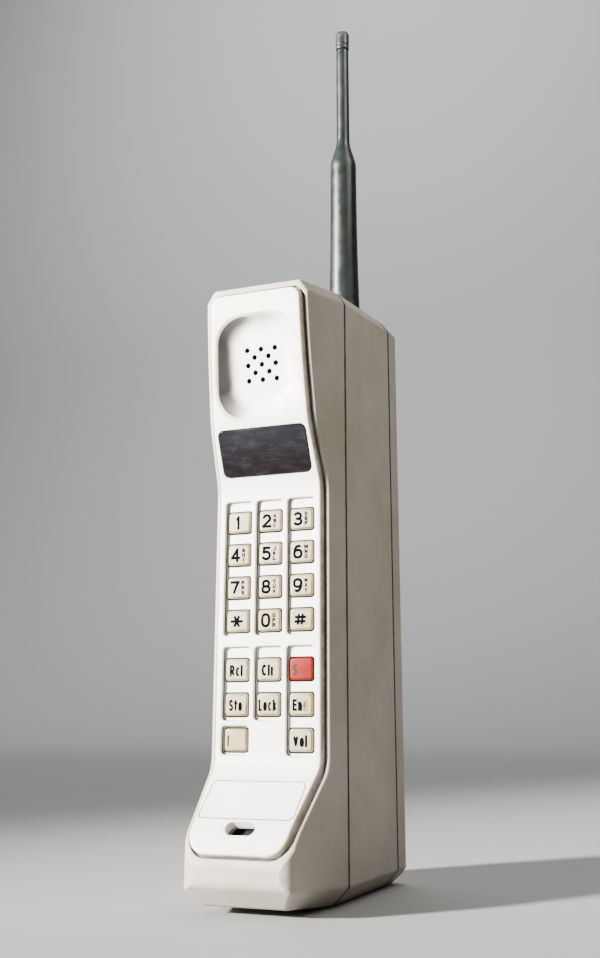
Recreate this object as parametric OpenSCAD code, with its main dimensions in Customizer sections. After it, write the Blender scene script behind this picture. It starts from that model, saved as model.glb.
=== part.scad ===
// Early mobile brick phone: drafted two-half casing, front bezel with keypad, earpiece
// bowl and microphone pocket, rear battery pack, screw-in rubber aerial.
// Millimetres. +X right seen from the front, -Y front, +Z up. Origin on the floor under
// the centre of the body.

/* [Body] */
// Width at the parting line
body_w = 45.4; // [42:0.1:50]
// Height at the parting line
body_h = 203; // [190:1:215]
// Front-to-back depth of the moulded body
body_d = 88.7; // [84:0.1:94]
// Distance from the back to the front parting line
seam_back = 54.4; // [48:0.1:60]
// Thickness of the battery pack slab
pack_t = 10.6; // [9:0.1:13]
// Sideways draft of the front casing, per mm of depth
draft_side = 0.116; // [0:0.001:0.15]
// Top draft of the front casing, per mm of depth
draft_top = 0.094; // [0:0.001:0.12]
// Bottom draft of the front casing, per mm of depth
draft_base = 0.089; // [0:0.001:0.12]
// Wall thickness
wall = 2.2; // [1.6:0.1:3]
// Chamfer along the base
foot_ch = 5.5; // [3:0.1:7]
// Height of the chamfer along the top
top_ch_z = 4.5; // [2:0.1:6]
// Width of the chamfer along the top
top_ch_x = 3; // [2:0.1:5]
// Visible gap at each parting line
seam_gap = 0.4; // [0.1:0.05:0.8]

/* [Bezel] */
// How far the bezel stands proud of the casing rim
bezel_up = 2; // [1:0.1:3]
// Bezel plate thickness
bezel_t = 2.95; // [2.4:0.05:3.5]
// Width of the casing rim round the bezel
rim_w = 1.45; // [1:0.05:2]
// Shadow gap between bezel and rim
rim_gap = 0.65; // [0.3:0.05:1]

/* [Keys] */
// Column pitch
key_px = 11.7; // [10:0.1:13]
// Row pitch
key_pz = 10.95; // [10:0.05:12]
// Height of the top row
row1_z = 119.9; // [110:0.1:125]
// Height of the first row of the lower block
row5_z = 71.4; // [65:0.1:75]
// Key width
key_w = 8.35; // [7:0.05:9]
// Key height
key_h = 7.05; // [6:0.05:8]
// Gap round each key
key_gap = 0.3; // [0.2:0.05:0.5]
// Key travel
key_travel = 0.9; // [0.5:0.1:1.2]
// Channel width
chan_w = 10.05; // [9:0.05:11]
// Channel depth
chan_d = 1.4; // [0.8:0.1:1.8]

/* [Earpiece] */
// Centre height of the earpiece bowl
ear_z = 173.1; // [160:0.1:180]
// Sound hole pitch
hole_p = 5.35; // [4:0.05:6]
// Sound hole diameter
hole_d = 1.5; // [1:0.1:2]

/* [Aerial] */
// Aerial centre across the body
ant_x = 10.2; // [6:0.1:14]
// Aerial centre front to back
ant_y = 19.7; // [14:0.1:24]
// Height of the aerial tip above the floor
ant_tip = 329.3; // [300:0.1:340]
// Thick section diameter
ant_d = 10.4; // [8:0.1:12]
// Thin section diameter
ant_thin = 5.3; // [4:0.1:6]

/* [Power] */
// Cell diameter
cell_d = 16.6; // [14:0.1:17]
// Cell length
cell_l = 43; // [40:0.5:50]

/* [Hidden] */
$fn = 48;
L = 260;
yr = body_d / 2;
s1 = yr + 0.05 - seam_back;
s2 = yr - pack_t;
hw = body_w / 2;
rear_rise = 0.03;
sg = seam_gap / 2;
dxb = draft_side + draft_base;
tn = top_ch_z * draft_side + top_ch_x * draft_top;
foot_r = 5.3;
foot_hw = hw - draft_side * 34.3;
// Side line of the front, from above the top down to below the base, as [y, z]
prof = [[-37.4, 214], [-35.8, 198], [-35, 188], [-33.1, 172.5], [-29.7, 152.5],
        [-21.5, 132], [-21.5, 41], [-40.9, 22.4], [-44.3, 15.2], [-44.3, 8.9], [-30.4, -5]];
ey = -30.7;  et = 10.3;
dy = -28.01; dz = 142.9; dt = 21.8;
pt = -46.2;
py = -31.96; pz = 30.97;
my = -39.67; mz = 23.58;
key_top = -22.87;
bz_back = -20.55;
shell_c = [0.80, 0.77, 0.70];
bezel_c = [0.90, 0.88, 0.82];
rubber_c = [0.13, 0.14, 0.14];
board_c = [0.15, 0.38, 0.20];
steel_c = [0.70, 0.70, 0.72];
brass_c = [0.76, 0.62, 0.32];

function sub2(a, b) = [a[0] - b[0], a[1] - b[1]];
function unit2(v) = v / norm(v);
// outward (forward) normal of a leg that runs downwards
function nrm2(a, b) = let (u = unit2(sub2(b, a))) [u[1], -u[0]];
function mitre(p, i, d) = let (n = len(p), a = nrm2(p[max(i - 1, 0)], p[max(i, 1)]),
    b = nrm2(p[min(i, n - 2)], p[min(i + 1, n - 1)])) p[i] + d * (a + b) / (1 + a * b);
function offs(d) = [for (i = [0 : len(prof) - 1]) mitre(prof, i, d)];
function rev(p) = [for (i = [len(p) - 1 : -1 : 0]) p[i]];
function row_z(r) = r < 4 ? row1_z - key_pz * r : row5_z - key_pz * (r - 4);
function top_z(y) = body_h + rear_rise * (y - s1);

// Everything on the inner side of a plane through p with outward normal n, set in by o
module half(p, n, o = 0) {
  translate(p) rotate([0, -asin(n[2] / norm(n)), atan2(n[1], n[0])])
    translate([-o - L, -L, -L]) cube([L, 2 * L, 2 * L]);
}
// Solid from the y-z outline, w wide about the middle plane
module along_x(pts, w) { rotate([90, 0, 90]) translate([0, 0, -w / 2]) linear_extrude(w) polygon(pts); }
module rrect(w, h, r) {
  square([w - 2 * r, h], center = true);
  square([w, h - 2 * r], center = true);
  for (x = [-1, 1], z = [-1, 1]) translate([x * (w / 2 - r), z * (h / 2 - r)]) circle(r, $fn = 24);
}
// Rounded slab facing -Y, from y0 to y1
module slab(w, h, r, y0, y1) { translate([0, y1, 0]) rotate([90, 0, 0]) linear_extrude(y1 - y0) rrect(w, h, r); }
module box(x0, x1, y0, y1, z0, z1) { translate([x0, y0, z0]) cube([x1 - x0, y1 - y0, z1 - z0]); }
module rod_y(r, y0, y1) { translate([0, y0, 0]) rotate([-90, 0, 0]) cylinder(r = r, h = y1 - y0); }
module rod_z(r, z0, z1) { translate([0, 0, z0]) cylinder(r = r, h = z1 - z0); }

module front_env(o) {
  intersection() {
    half([hw, s1, 0], [1, -draft_side, 0], o);
    half([-hw, s1, 0], [-1, -draft_side, 0], o);
    half([0, s1, body_h], [0, -draft_top, 1], o);
    half([0, s1, 0], [0, -draft_base, -1], o);
    half([hw, s1, foot_ch], [1, -dxb, -1], o);
    half([-hw, s1, foot_ch], [-1, -dxb, -1], o);
    half([hw, s1, body_h - top_ch_z], [top_ch_z, -tn, top_ch_x], o);
    half([-hw, s1, body_h - top_ch_z], [-top_ch_z, -tn, top_ch_x], o);
  }
}
module foot_round(o) {
  intersection() {
    corner_cut(22.5, o);
    corner_cut(45, o);
    corner_cut(67.5, o);
  }
}
module corner_cut(a, o) {
  intersection() {
    half([foot_hw - foot_r + foot_r * sin(a), -44.3 + foot_r - foot_r * cos(a), 0], [sin(a), -cos(a), 0], o);
    half([-foot_hw + foot_r - foot_r * sin(a), -44.3 + foot_r - foot_r * cos(a), 0], [-sin(a), -cos(a), 0], o);
  }
}
module rear_env(o, y0, y1) {
  intersection() {
    box(-hw + o, hw - o, y0, y1, o, L);
    half([0, s1, body_h], [0, -rear_rise, 1], o);
    half([hw, s1, foot_ch], [1, 0, -1], o);
    half([-hw, s1, foot_ch], [-1, 0, -1], o);
    half([hw, s1, body_h - top_ch_z], [top_ch_z, -rear_rise * top_ch_x, top_ch_x], o);
    half([-hw, s1, body_h - top_ch_z], [-top_ch_z, -rear_rise * top_ch_x, top_ch_x], o);
  }
}
module pack_env(o, y0) {
  intersection() {
    rear_env(o, y0, yr - o);
    half([0, s2 + 1.4, top_z(s2)], [0, 0.62, 1], o);
    half([hw, yr - 2, 0], [1, 1, 0], o);
    half([-hw, yr - 2, 0], [-1, 1, 0], o);
    half([0, yr, 3], [0, 1, -1], o);
  }
}
module ear_frame() { translate([0, ey, ear_z]) rotate([et, 0, 0]) children(); }
module lens_frame() { translate([0, dy, dz]) rotate([dt, 0, 0]) children(); }
module plate_frame() { translate([0, py, pz]) rotate([pt, 0, 0]) children(); }
module mic_frame() { translate([0, my, mz]) rotate([pt, 0, 0]) children(); }
module bowl(w0, h0, r0, y0, w1, h1, r1, y1) {
  hull() {
    slab(w0, h0, r0, y0, y0 + 0.01);
    slab(w1, h1, r1, y1, y1 + 0.01);
  }
}
module bezel_zone(o, e) {
  intersection() {
    front_env(o);
    half([0, 0, 197.6 + e], [0, 0, 1]);
    half([0, -43.46, 16.97], [0, -0.427, -0.904], -e);
    half([16, 0, 197.6], [1, 0, 1], -e);
    half([-16, 0, 197.6], [-1, 0, 1], -e);
    half([14.2, -43.46, 16.97], [0.8, -0.427, -0.904], -e);
    half([-14.2, -43.46, 16.97], [-0.8, -0.427, -0.904], -e);
  }
}
module front_casing() {
  color(shell_c) difference() {
    union() {
      difference() {
        intersection() {
          front_env(0);
          foot_round(0);
          along_x(concat(offs(0), [[s1 - sg, -9], [s1 - sg, 216]]), 60);
        }
        intersection() {
          front_env(wall);
          foot_round(wall);
          along_x(concat(offs(-2.8), [[s1 + 3, -9], [s1 + 3, 216]]), 60);
        }
      }
      // screw bosses and board posts
      intersection() {
        along_x(concat(offs(-2), [[s1 - sg, -9], [s1 - sg, 216]]), 60);
        union() {
          for (x = [-15.5, 15.5], z = [11, 178]) translate([x, 0, z]) rod_y(3.1, -34, s1 - sg);
          for (x = [-13, 13], z = [41.6, 130.4]) translate([x, 0, z]) rod_y(2.2, -26, -16.25);
        }
      }
    }
    intersection() {
      bezel_zone(rim_w, rim_gap);
      along_x(concat(offs(12), rev(offs(-1))), 60);
    }
    box(-17, 17, -26, -15, 44.6, 127.2);
    lens_frame() slab(31, 14, 1, -3, 8);
    ear_frame() slab(30.4, 36.6, 8, -8, 6);
    mic_frame() rod_y(5.3, -6, 9);
    for (x = [-15.5, 15.5], z = [11, 178]) translate([x, 0, z]) rod_y(1.35, s1 - 12.5, s1 + 5);
    for (x = [-13, 13], z = [41.6, 130.4]) translate([x, 0, z]) rod_y(1.05, -19, -10);
  }
}
module rear_casing() {
  color(shell_c) difference() {
    union() {
      difference() {
        rear_env(0, s1 + sg, s2);
        rear_env(wall, s1 - 1, s2 - 2.4);
      }
      // tongue behind the parting line
      difference() {
        rear_env(2.7, s1 - 1.6, s1 + 4);
        rear_env(3.7, s1 - 3, s1 + 5);
      }
      difference() {
        rear_env(2.1, s1 + sg, s1 + 4);
        rear_env(3, s1 - 3, s1 + 5);
      }
      // battery bay
      box(-20.6, 20.6, 17.9, s2 - 2, 16.4, 153.6);
      for (x = [-15.5, 15.5], z = [11, 178]) translate([x, 0, z]) rod_y(4.2, s1 + sg, s2 - 2);
      for (x = [-16.5, 16.5], z = [26, 144]) translate([x, 0, z]) {
        rod_y(2.4, -4.8, 18.5);
        rod_y(3.5, 6.7, 18.5);
      }
      // latch shelf
      box(-9, 9, 24, s2 - 2, 187.6, 189.4);
    }
    box(-19.1, 19.1, 19.5, 60, 17.5, 152.5);
    for (x = [-15.5, 15.5], z = [11, 178]) translate([x, 0, z]) {
      rod_y(3.1, -4, 60);
      rod_y(1.5, -20, 0);
    }
    for (x = [-16.5, 16.5], z = [26, 144]) translate([x, 0, z]) rod_y(1.05, -10, 3);
    translate([ant_x, ant_y, 0]) rod_z(4.6, 195, 230);
    box(-6.3, 6.3, 26.2, 31.6, 195, 230);
    box(-10.1, 10.1, 10, 30, 29.9, 38.1);
  }
}
module front_bezel() {
  color(bezel_c) difference() {
    union() {
      intersection() {
        bezel_zone(rim_w + rim_gap, 0);
        box(-40, 40, -yr - 0.05, 0, 0, 220);
        along_x(concat(offs(bezel_up), rev(offs(bezel_up - bezel_t))), 60);
      }
      ear_frame() bowl(24.8, 30, 5.5, 1.59, 31.8, 38.2, 8, -3.2);
    }
    ear_frame() {
      bowl(23.2, 28.4, 5, 0, 34.1, 40.5, 8.6, -6);
      for (r = [-2 : 2]) for (i = [0 : (r % 2 == 0 ? 2 : 1)])
        translate([(i - (r % 2 == 0 ? 1 : 0.5)) * hole_p, 0, r * hole_p / 2]) rod_y(hole_d / 2, -4, 4);
    }
    lens_frame() {
      slab(33.5, 16.9, 2.4, -3, 1.5);
      slab(29, 12.6, 1.5, -3, 5);
    }
    plate_frame() slab(32.9, 14.9, 2.1, -6, -1.6);
    mic_frame() {
      slab(10, 4.6, 2.2, -6, 4);
    }
    for (c = [-1 : 1]) {
      translate([c * key_px, 0, (82.4 + 127.05) / 2]) slab(chan_w, 127.05 - 82.4, 1.3, -30, -23.5 + chan_d);
      for (r = [0 : 5]) translate([c * key_px, 0, row_z(r)])
        slab(key_w + 2 * key_gap, key_h + 2 * key_gap, 1.1, -30, -15);
    }
    for (c = [-1, 0]) translate([c * key_px, 0, (55.55 + 78.8) / 2])
      slab(chan_w, 78.8 - 55.55, 1.3, -30, -23.5 + chan_d);
    translate([key_px, 0, (44.8 + 78.8) / 2]) slab(chan_w, 78.8 - 44.8, 1.3, -30, -23.5 + chan_d);
    translate([-key_px, 0, row_z(6)]) slab(chan_w, 8.9, 1.3, -30, -23.5 + chan_d);
    for (c = [-1, 1]) translate([c * key_px, 0, row_z(6)])
      slab(key_w + 2 * key_gap, key_h + 2 * key_gap, 1.1, -30, -15);
  }
}
module display_window() { color([0.14, 0.09, 0.11]) lens_frame() slab(33.1, 16.5, 2.2, -0.05, 1.45); }
module name_plate() { color([0.88, 0.87, 0.83]) plate_frame() slab(32.6, 14.6, 2, -2, -1.62); }
module keycap(c, r, k) {
  color(k) translate([c * key_px, 0, row_z(r)]) {
    slab(key_w, key_h, 0.9, key_top, -20);
    slab(9.7, 8.6, 0.7, bz_back + 0.15, bz_back + 0.95);
    rod_y(1.6, bz_back + 0.9, -17.3);
  }
}
kc = [0.86, 0.83, 0.72];
module key_1() { keycap(-1, 0, kc); }
module key_2() { keycap(0, 0, kc); }
module key_3() { keycap(1, 0, kc); }
module key_4() { keycap(-1, 1, kc); }
module key_5() { keycap(0, 1, kc); }
module key_6() { keycap(1, 1, kc); }
module key_7() { keycap(-1, 2, kc); }
module key_8() { keycap(0, 2, kc); }
module key_9() { keycap(1, 2, kc); }
module key_star() { keycap(-1, 3, kc); }
module key_0() { keycap(0, 3, kc); }
module key_hash() { keycap(1, 3, kc); }
module key_recall() { keycap(-1, 4, kc); }
module key_clear() { keycap(0, 4, kc); }
module key_send() { keycap(1, 4, [0.86, 0.28, 0.18]); }
module key_store() { keycap(-1, 5, kc); }
module key_lock() { keycap(0, 5, kc); }
module key_end() { keycap(1, 5, kc); }
module key_power() { keycap(-1, 6, kc); }
module key_volume() { keycap(1, 6, kc); }
module keypad_mat() {
  color([0.35, 0.35, 0.36]) difference() {
    box(-17.6, 17.6, -18.6, -16.3, 44, 127.8);
    for (c = [-1 : 1], r = [0 : 6]) if (!(c == 0 && r == 6))
      translate([c * key_px, 0, row_z(r)]) rod_y(1.9, -20, -15);
  }
}
module keypad_board() {
  color(board_c) difference() {
    union() {
      box(-18, 18, -16.2, -14.6, 38.6, 133.6);
      for (z = [60, 84, 108]) box(-9, 9, -14.6, -12.9, z - 4, z + 4);
    }
    for (x = [-13, 13], z = [41.6, 130.4]) translate([x, 0, z]) rod_y(1.2, -20, -10);
  }
}
module display_module() {
  color([0.20, 0.20, 0.22]) lens_frame() union() {
    slab(32, 15, 0.8, 5.1, 9.6);
    slab(27, 10, 0.8, 4.2, 5.1);
  }
}
module earpiece_gasket() {
  color(rubber_c) ear_frame() difference() {
    rod_y(11.4, 1.65, 3.1);
    rod_y(8.6, 0, 5);
  }
}
module earpiece_capsule() {
  color(steel_c) ear_frame() union() {
    rod_y(11.6, 3.15, 7.2);
    rod_y(8.5, 7.2, 10.4);
  }
}
module microphone_boot() {
  color(rubber_c) mic_frame() difference() {
    rod_y(5.2, 2.5, 8.4);
    rod_y(4.3, 3.5, 10);
    slab(6, 2, 0.9, 0, 4);
  }
}
module microphone_capsule() { color(steel_c) mic_frame() rod_y(4.25, 3.6, 9); }
module logic_board() {
  color(board_c) difference() {
    union() {
      box(-18.6, 18.6, -6.5, -4.9, 20, 170);
      for (z = [48, 78]) box(-9, 9, -8.6, -6.5, z - 6, z + 6);
      box(-14, 6, -8.2, -6.5, 110, 121);
      box(-12, 12, -4.9, -2.6, 60, 74);
    }
    for (x = [-16.5, 16.5], z = [26, 144]) translate([x, 0, z]) rod_y(1.2, -10, 0);
  }
}
module radio_board() {
  color(board_c) difference() {
    box(-18.6, 18.6, 5, 6.6, 20.5, 150);
    for (x = [-16.5, 16.5], z = [26, 144]) translate([x, 0, z]) rod_y(2.55, 0, 10);
  }
}
module radio_shield() {
  color(steel_c) difference() {
    box(-17.4, 17.4, 6.65, 16.9, 31, 139);
    box(-16.9, 16.9, 5, 16.3, 31.5, 138.5);
  }
}
module duplexer_filter() {
  color(brass_c) union() {
    box(-13, 13, -3.4, 4.95, 92, 136);
    for (z = [100, 114, 128]) translate([0, 0, z]) rod_y(2.2, -4.4, -3.4);
  }
}
module ribbon_cable() {
  color([0.72, 0.70, 0.62]) union() {
    box(-7, 7, -14.5, -14.2, 40, 49);
    box(-7, 7, -14.5, -6.6, 39.7, 40);
    box(-7, 7, -6.9, -6.6, 33, 40);
  }
}
module rf_cable() {
  color(rubber_c) translate([ant_x, 0, 0]) union() {
    translate([0, 9, 0]) rod_z(1, 146, 168);
    translate([0, 9, 168]) sphere(1, $fn = 24);
    translate([0, 9, 168]) rotate([-atan2(ant_y - 9, 14), 0, 0]) rod_z(1, 0, norm([ant_y - 9, 14]));
    translate([0, ant_y, 182]) sphere(1, $fn = 24);
    translate([0, ant_y, 0]) rod_z(1, 182, 189.9);
  }
}
module antenna_socket() {
  color(brass_c) translate([ant_x, ant_y, 0]) difference() {
    union() {
      rod_z(4.5, 190, top_z(ant_y) + 0.1);
      rod_z(6.4, 199.3, 201.4);
    }
    rod_z(2.55, 191.2, 230);
  }
}
module antenna_stud() {
  color(brass_c) translate([ant_x, ant_y, 0]) union() {
    rod_z(2.5, 192, 205);
    rod_z(3.4, 204.2, 213);
  }
}
module antenna_sheath() {
  color(rubber_c) translate([ant_x, ant_y, 0]) rotate_extrude($fn = 56) polygon([
    [3.45, 204.2], [6.05, 204.2], [6.15, 205.5], [5.9, 209], [5.6, 220], [ant_d / 2 + 0.05, 245],
    [ant_d / 2, 267.5], [ant_d / 2 - 0.2, 269.3], [ant_thin / 2 + 0.35, 276.2], [ant_thin / 2, 278.5],
    [ant_thin / 2 - 0.1, 320.7], [1.45, 320.7], [1.45, 213.1], [3.45, 213.1]]);
}
module antenna_whip() { color(steel_c) translate([ant_x, ant_y, 0]) rod_z(1.4, 213.1, 325.5); }
module antenna_tip_cap() {
  color([0.08, 0.08, 0.08]) translate([ant_x, ant_y, 0]) rotate_extrude($fn = 40) polygon([
    [1.45, 320.85], [2.65, 320.85], [2.8, 321.3], [2.8, ant_tip - 1.6], [2.5, ant_tip - 0.6],
    [1.8, ant_tip], [0, ant_tip], [0, 325.6], [1.45, 325.6]]);
}
module battery_case() {
  color([0.24, 0.24, 0.25]) difference() {
    union() {
      box(-18.6, 18.6, 20, s2 + 1.5, 18, 152);
      pack_env(2.1, s2 + 0.35);
    }
    box(-17.4, 17.4, 21.4, 60, 19.4, 150.6);
    box(-40, 40, s2 + 1.6, 80, -10, 300);
  }
}
module battery_cover() {
  color(shell_c) difference() {
    pack_env(0, s2 + seam_gap);
    pack_env(1.9, s2 - 3);
  }
}
module battery_cells() {
  color([0.62, 0.63, 0.65]) for (x = [-8.5, 8.5], i = [0 : 2])
    translate([x, 21.6 + cell_d / 2, 19.6 + i * (cell_l + 0.5)]) union() {
      rod_z(cell_d / 2, 0, cell_l - 1);
      rod_z(3, cell_l - 1, cell_l);
    }
}
module battery_contacts() {
  color(brass_c) for (x = [-6, 0, 6]) translate([x, 0, 34]) slab(4, 6, 0.5, 19.72, 19.98);
}
module contact_block() {
  color([0.12, 0.12, 0.12]) difference() {
    box(-10, 10, 17, 19.4, 30, 38);
    for (x = [-6, 0, 6]) translate([x, 0, 34]) rod_y(1.25, 15, 25);
  }
}
module contact_pins() { color(brass_c) for (x = [-6, 0, 6]) translate([x, 0, 34]) rod_y(1.2, 17.1, 19.65); }
module battery_latch() {
  color([0.30, 0.30, 0.30]) union() {
    box(-6, 6, 26.5, 31.3, 200.4, 205.4);
    box(-7, 7, 25.7, 31.3, 200.2, 201.5);
    for (y = [27.3 : 1.1 : 30.6]) box(-5, 5, y, y + 0.45, 205.3, 205.75);
  }
}
module latch_spring() {
  color(steel_c) translate([0, 28.4, 0]) union() {
    for (i = [0 : 6]) translate([0, 0, 189.9 + i * 1.6]) rotate_extrude($fn = 32)
      translate([2.3, 0]) circle(0.35, $fn = 12);
    rod_z(0.35, 189.5, 199.8);
  }
}
module casing_screws() {
  color(steel_c) for (x = [-15.5, 15.5], z = [11, 178]) translate([x, 0, z]) difference() {
    union() {
      rod_y(2.8, -3.95, -1.9);
      rod_y(1.3, s1 - 12, -3.9);
    }
    box(-0.4, 0.4, -2.7, -1, -2.2, 2.2);
    box(-2.2, 2.2, -2.7, -1, -0.4, 0.4);
  }
}
module board_screws() {
  color(steel_c) union() {
    for (x = [-13, 13], z = [41.6, 130.4]) translate([x, 0, z]) board_screw(-14.55, -18.8);
    for (x = [-16.5, 16.5], z = [26, 144]) translate([x, 0, z]) rotate([0, 0, 180]) board_screw(6.55, 2.2 - 3);
  }
}
module board_screw(y0, y1) {
  difference() {
    union() {
      rod_y(1.9, y0, y0 + 1.3);
      rod_y(1, y1, y0 + 0.1);
    }
    box(-0.3, 0.3, y0 + 0.8, y0 + 2, -1.5, 1.5);
  }
}

front_casing();
rear_casing();
front_bezel();
display_window();
name_plate();
key_1();
key_2();
key_3();
key_4();
key_5();
key_6();
key_7();
key_8();
key_9();
key_star();
key_0();
key_hash();
key_recall();
key_clear();
key_send();
key_store();
key_lock();
key_end();
key_power();
key_volume();
keypad_mat();
keypad_board();
display_module();
earpiece_gasket();
earpiece_capsule();
microphone_boot();
microphone_capsule();
logic_board();
radio_board();
radio_shield();
duplexer_filter();
ribbon_cable();
rf_cable();
antenna_socket();
antenna_stud();
antenna_sheath();
antenna_whip();
antenna_tip_cap();
battery_case();
battery_cover();
battery_cells();
battery_contacts();
contact_block();
contact_pins();
battery_latch();
latch_spring();
casing_screws();
board_screws();
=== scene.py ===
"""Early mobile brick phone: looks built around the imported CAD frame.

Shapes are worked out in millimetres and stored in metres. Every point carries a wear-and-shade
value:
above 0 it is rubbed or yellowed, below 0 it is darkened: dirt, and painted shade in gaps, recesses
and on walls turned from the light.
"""
import math

import bmesh
import bpy
import numpy as np
from mathutils import Matrix, Vector
from mathutils.geometry import delaunay_2d_cdt


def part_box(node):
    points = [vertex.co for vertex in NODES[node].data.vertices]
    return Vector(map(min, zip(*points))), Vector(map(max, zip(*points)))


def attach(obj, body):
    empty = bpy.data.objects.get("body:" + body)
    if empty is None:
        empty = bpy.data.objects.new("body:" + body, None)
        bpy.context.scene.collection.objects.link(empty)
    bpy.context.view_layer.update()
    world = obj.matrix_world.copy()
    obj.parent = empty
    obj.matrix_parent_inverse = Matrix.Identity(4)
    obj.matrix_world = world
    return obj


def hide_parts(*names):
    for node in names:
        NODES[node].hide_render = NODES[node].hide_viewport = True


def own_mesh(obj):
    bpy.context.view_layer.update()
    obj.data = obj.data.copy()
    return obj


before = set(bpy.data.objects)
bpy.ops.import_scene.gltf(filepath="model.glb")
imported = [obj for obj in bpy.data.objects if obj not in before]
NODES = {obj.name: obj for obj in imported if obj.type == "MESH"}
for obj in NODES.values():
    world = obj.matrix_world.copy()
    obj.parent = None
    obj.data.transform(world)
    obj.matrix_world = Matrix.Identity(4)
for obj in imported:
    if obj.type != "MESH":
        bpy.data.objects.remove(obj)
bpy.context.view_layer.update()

MM = 0.001


# ---------------------------------------------------------------- mesh helpers
def link(o):
    bpy.context.scene.collection.objects.link(o)
    return o


def box_mm(node):
    """Lowest and highest corners of a CAD node, in millimetres."""
    return [np.array(c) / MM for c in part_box(node)]


def stands_for(piece, node, body, slot):
    """The piece takes the CAD node's place and rides with the body."""
    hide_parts(node)
    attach(piece, body)
    return piece


def finish_mesh(name, bm, sharp):
    """Smooth-shaded object in metres from a bmesh in millimetres."""
    bmesh.ops.scale(bm, vec=(MM,) * 3, verts=bm.verts)
    me = bpy.data.meshes.new(name)
    bm.to_mesh(me)
    bm.free()
    me.shade_smooth()
    me.set_sharp_from_angle(angle=math.radians(sharp))
    o = link(bpy.data.objects.new(name, me))
    o.modifiers.new("normals", "WEIGHTED_NORMAL").keep_sharp = True
    return o


def round_rect(w, h, r, n=6, cuts=(1, 1), at=(0, 0)):
    """Rounded rectangle, anticlockwise from its lower right corner. Each corner has n pieces,
    and the upright and level runs have cuts pieces."""
    arcs = []
    for sx, sy, first in ((1, -1, -90), (1, 1, 0), (-1, 1, 90), (-1, -1, 180)):
        a = np.radians(first + 90 * np.arange(n + 1) / n)
        arcs.append(np.column_stack([sx * (w / 2 - r) + r * np.cos(a) + at[0],
                                     sy * (h / 2 - r) + r * np.sin(a) + at[1]]))
    out = []
    for k, corner in enumerate(arcs):
        t = np.arange(1, cuts[k % 2])[:, None] / cuts[k % 2]
        out += [corner, corner[-1] + (arcs[(k + 1) % 4][0] - corner[-1]) * t]
    return np.vstack(out)


def bezier(a, c, b, n):
    """n points, or arrays of points, from a to b drawn towards c."""
    return [(1 - t) ** 2 * a + 2 * t * (1 - t) * c + t * t * b for t in np.linspace(0, 1, n)]


def quarter(n, first=0):
    """Sine and cosine of n equal steps over a quarter turn."""
    return [(math.sin(math.pi / 2 * k / n), math.cos(math.pi / 2 * k / n))
            for k in range(first, n + 1)]


def loop_normals(p):
    """Outward unit normals of an anticlockwise closed loop."""
    t = np.roll(p, -1, 0) - np.roll(p, 1, 0)
    t /= np.linalg.norm(t, axis=1)[:, None]
    return np.stack([t[:, 1], -t[:, 0]], 1)


def inside(pts, poly):
    """Which of pts lie inside the closed polygon."""
    x, y = pts[:, 0][:, None], pts[:, 1][:, None]
    a, b = poly, np.roll(poly, -1, 0)
    cross = (a[:, 1] > y) != (b[:, 1] > y)
    with np.errstate(divide="ignore", invalid="ignore"):
        xi = (b[:, 0] - a[:, 0]) * (y - a[:, 1]) / (b[:, 1] - a[:, 1]) + a[:, 0]
    return (cross & (x < xi)).sum(1) % 2 == 1


def scatter(xs, ys, outer, holes, gap):
    """Grid points inside outer, outside the holes and over gap from every loop's points."""
    pts = np.array([(x, y) for y in ys for x in xs])
    ok = inside(pts, outer)
    for loop in (outer, *holes):
        ok &= np.sqrt(((pts[:, None] - loop[None]) ** 2).sum(2)).min(1) > gap
    for loop in holes:
        ok &= ~inside(pts, loop)
    return pts[ok]


def wanted(points, triangles, walls, outer, holes):
    """Triangles of the regions that lie inside outer and in no hole. A region is what is
    joined without crossing a wall, and its largest triangle says where it lies."""
    by_edge = {}
    for i, f in enumerate(triangles):
        for k in range(3):
            by_edge.setdefault(frozenset((f[k], f[k - 1])), []).append(i)
    seen, keep = set(), []
    for first in range(len(triangles)):
        if first in seen:
            continue
        region, todo = [], [first]
        seen.add(first)
        while todo:
            f = triangles[todo.pop()]
            region.append(f)
            for k in range(3):
                edge = frozenset((f[k], f[k - 1]))
                near = [] if edge in walls else [q for q in by_edge[edge] if q not in seen]
                seen.update(near)
                todo += near
        t = points[np.array(region)]
        a, b = t[:, 1] - t[:, 0], t[:, 2] - t[:, 0]
        area = np.abs(a[:, 0] * b[:, 1] - a[:, 1] * b[:, 0])
        if area.sum() < 1e-3:
            continue
        middle = t[area.argmax()].mean(0)[None]
        if inside(middle, outer)[0] and not any(inside(middle, h)[0] for h in holes):
            keep += region
    return keep


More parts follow.
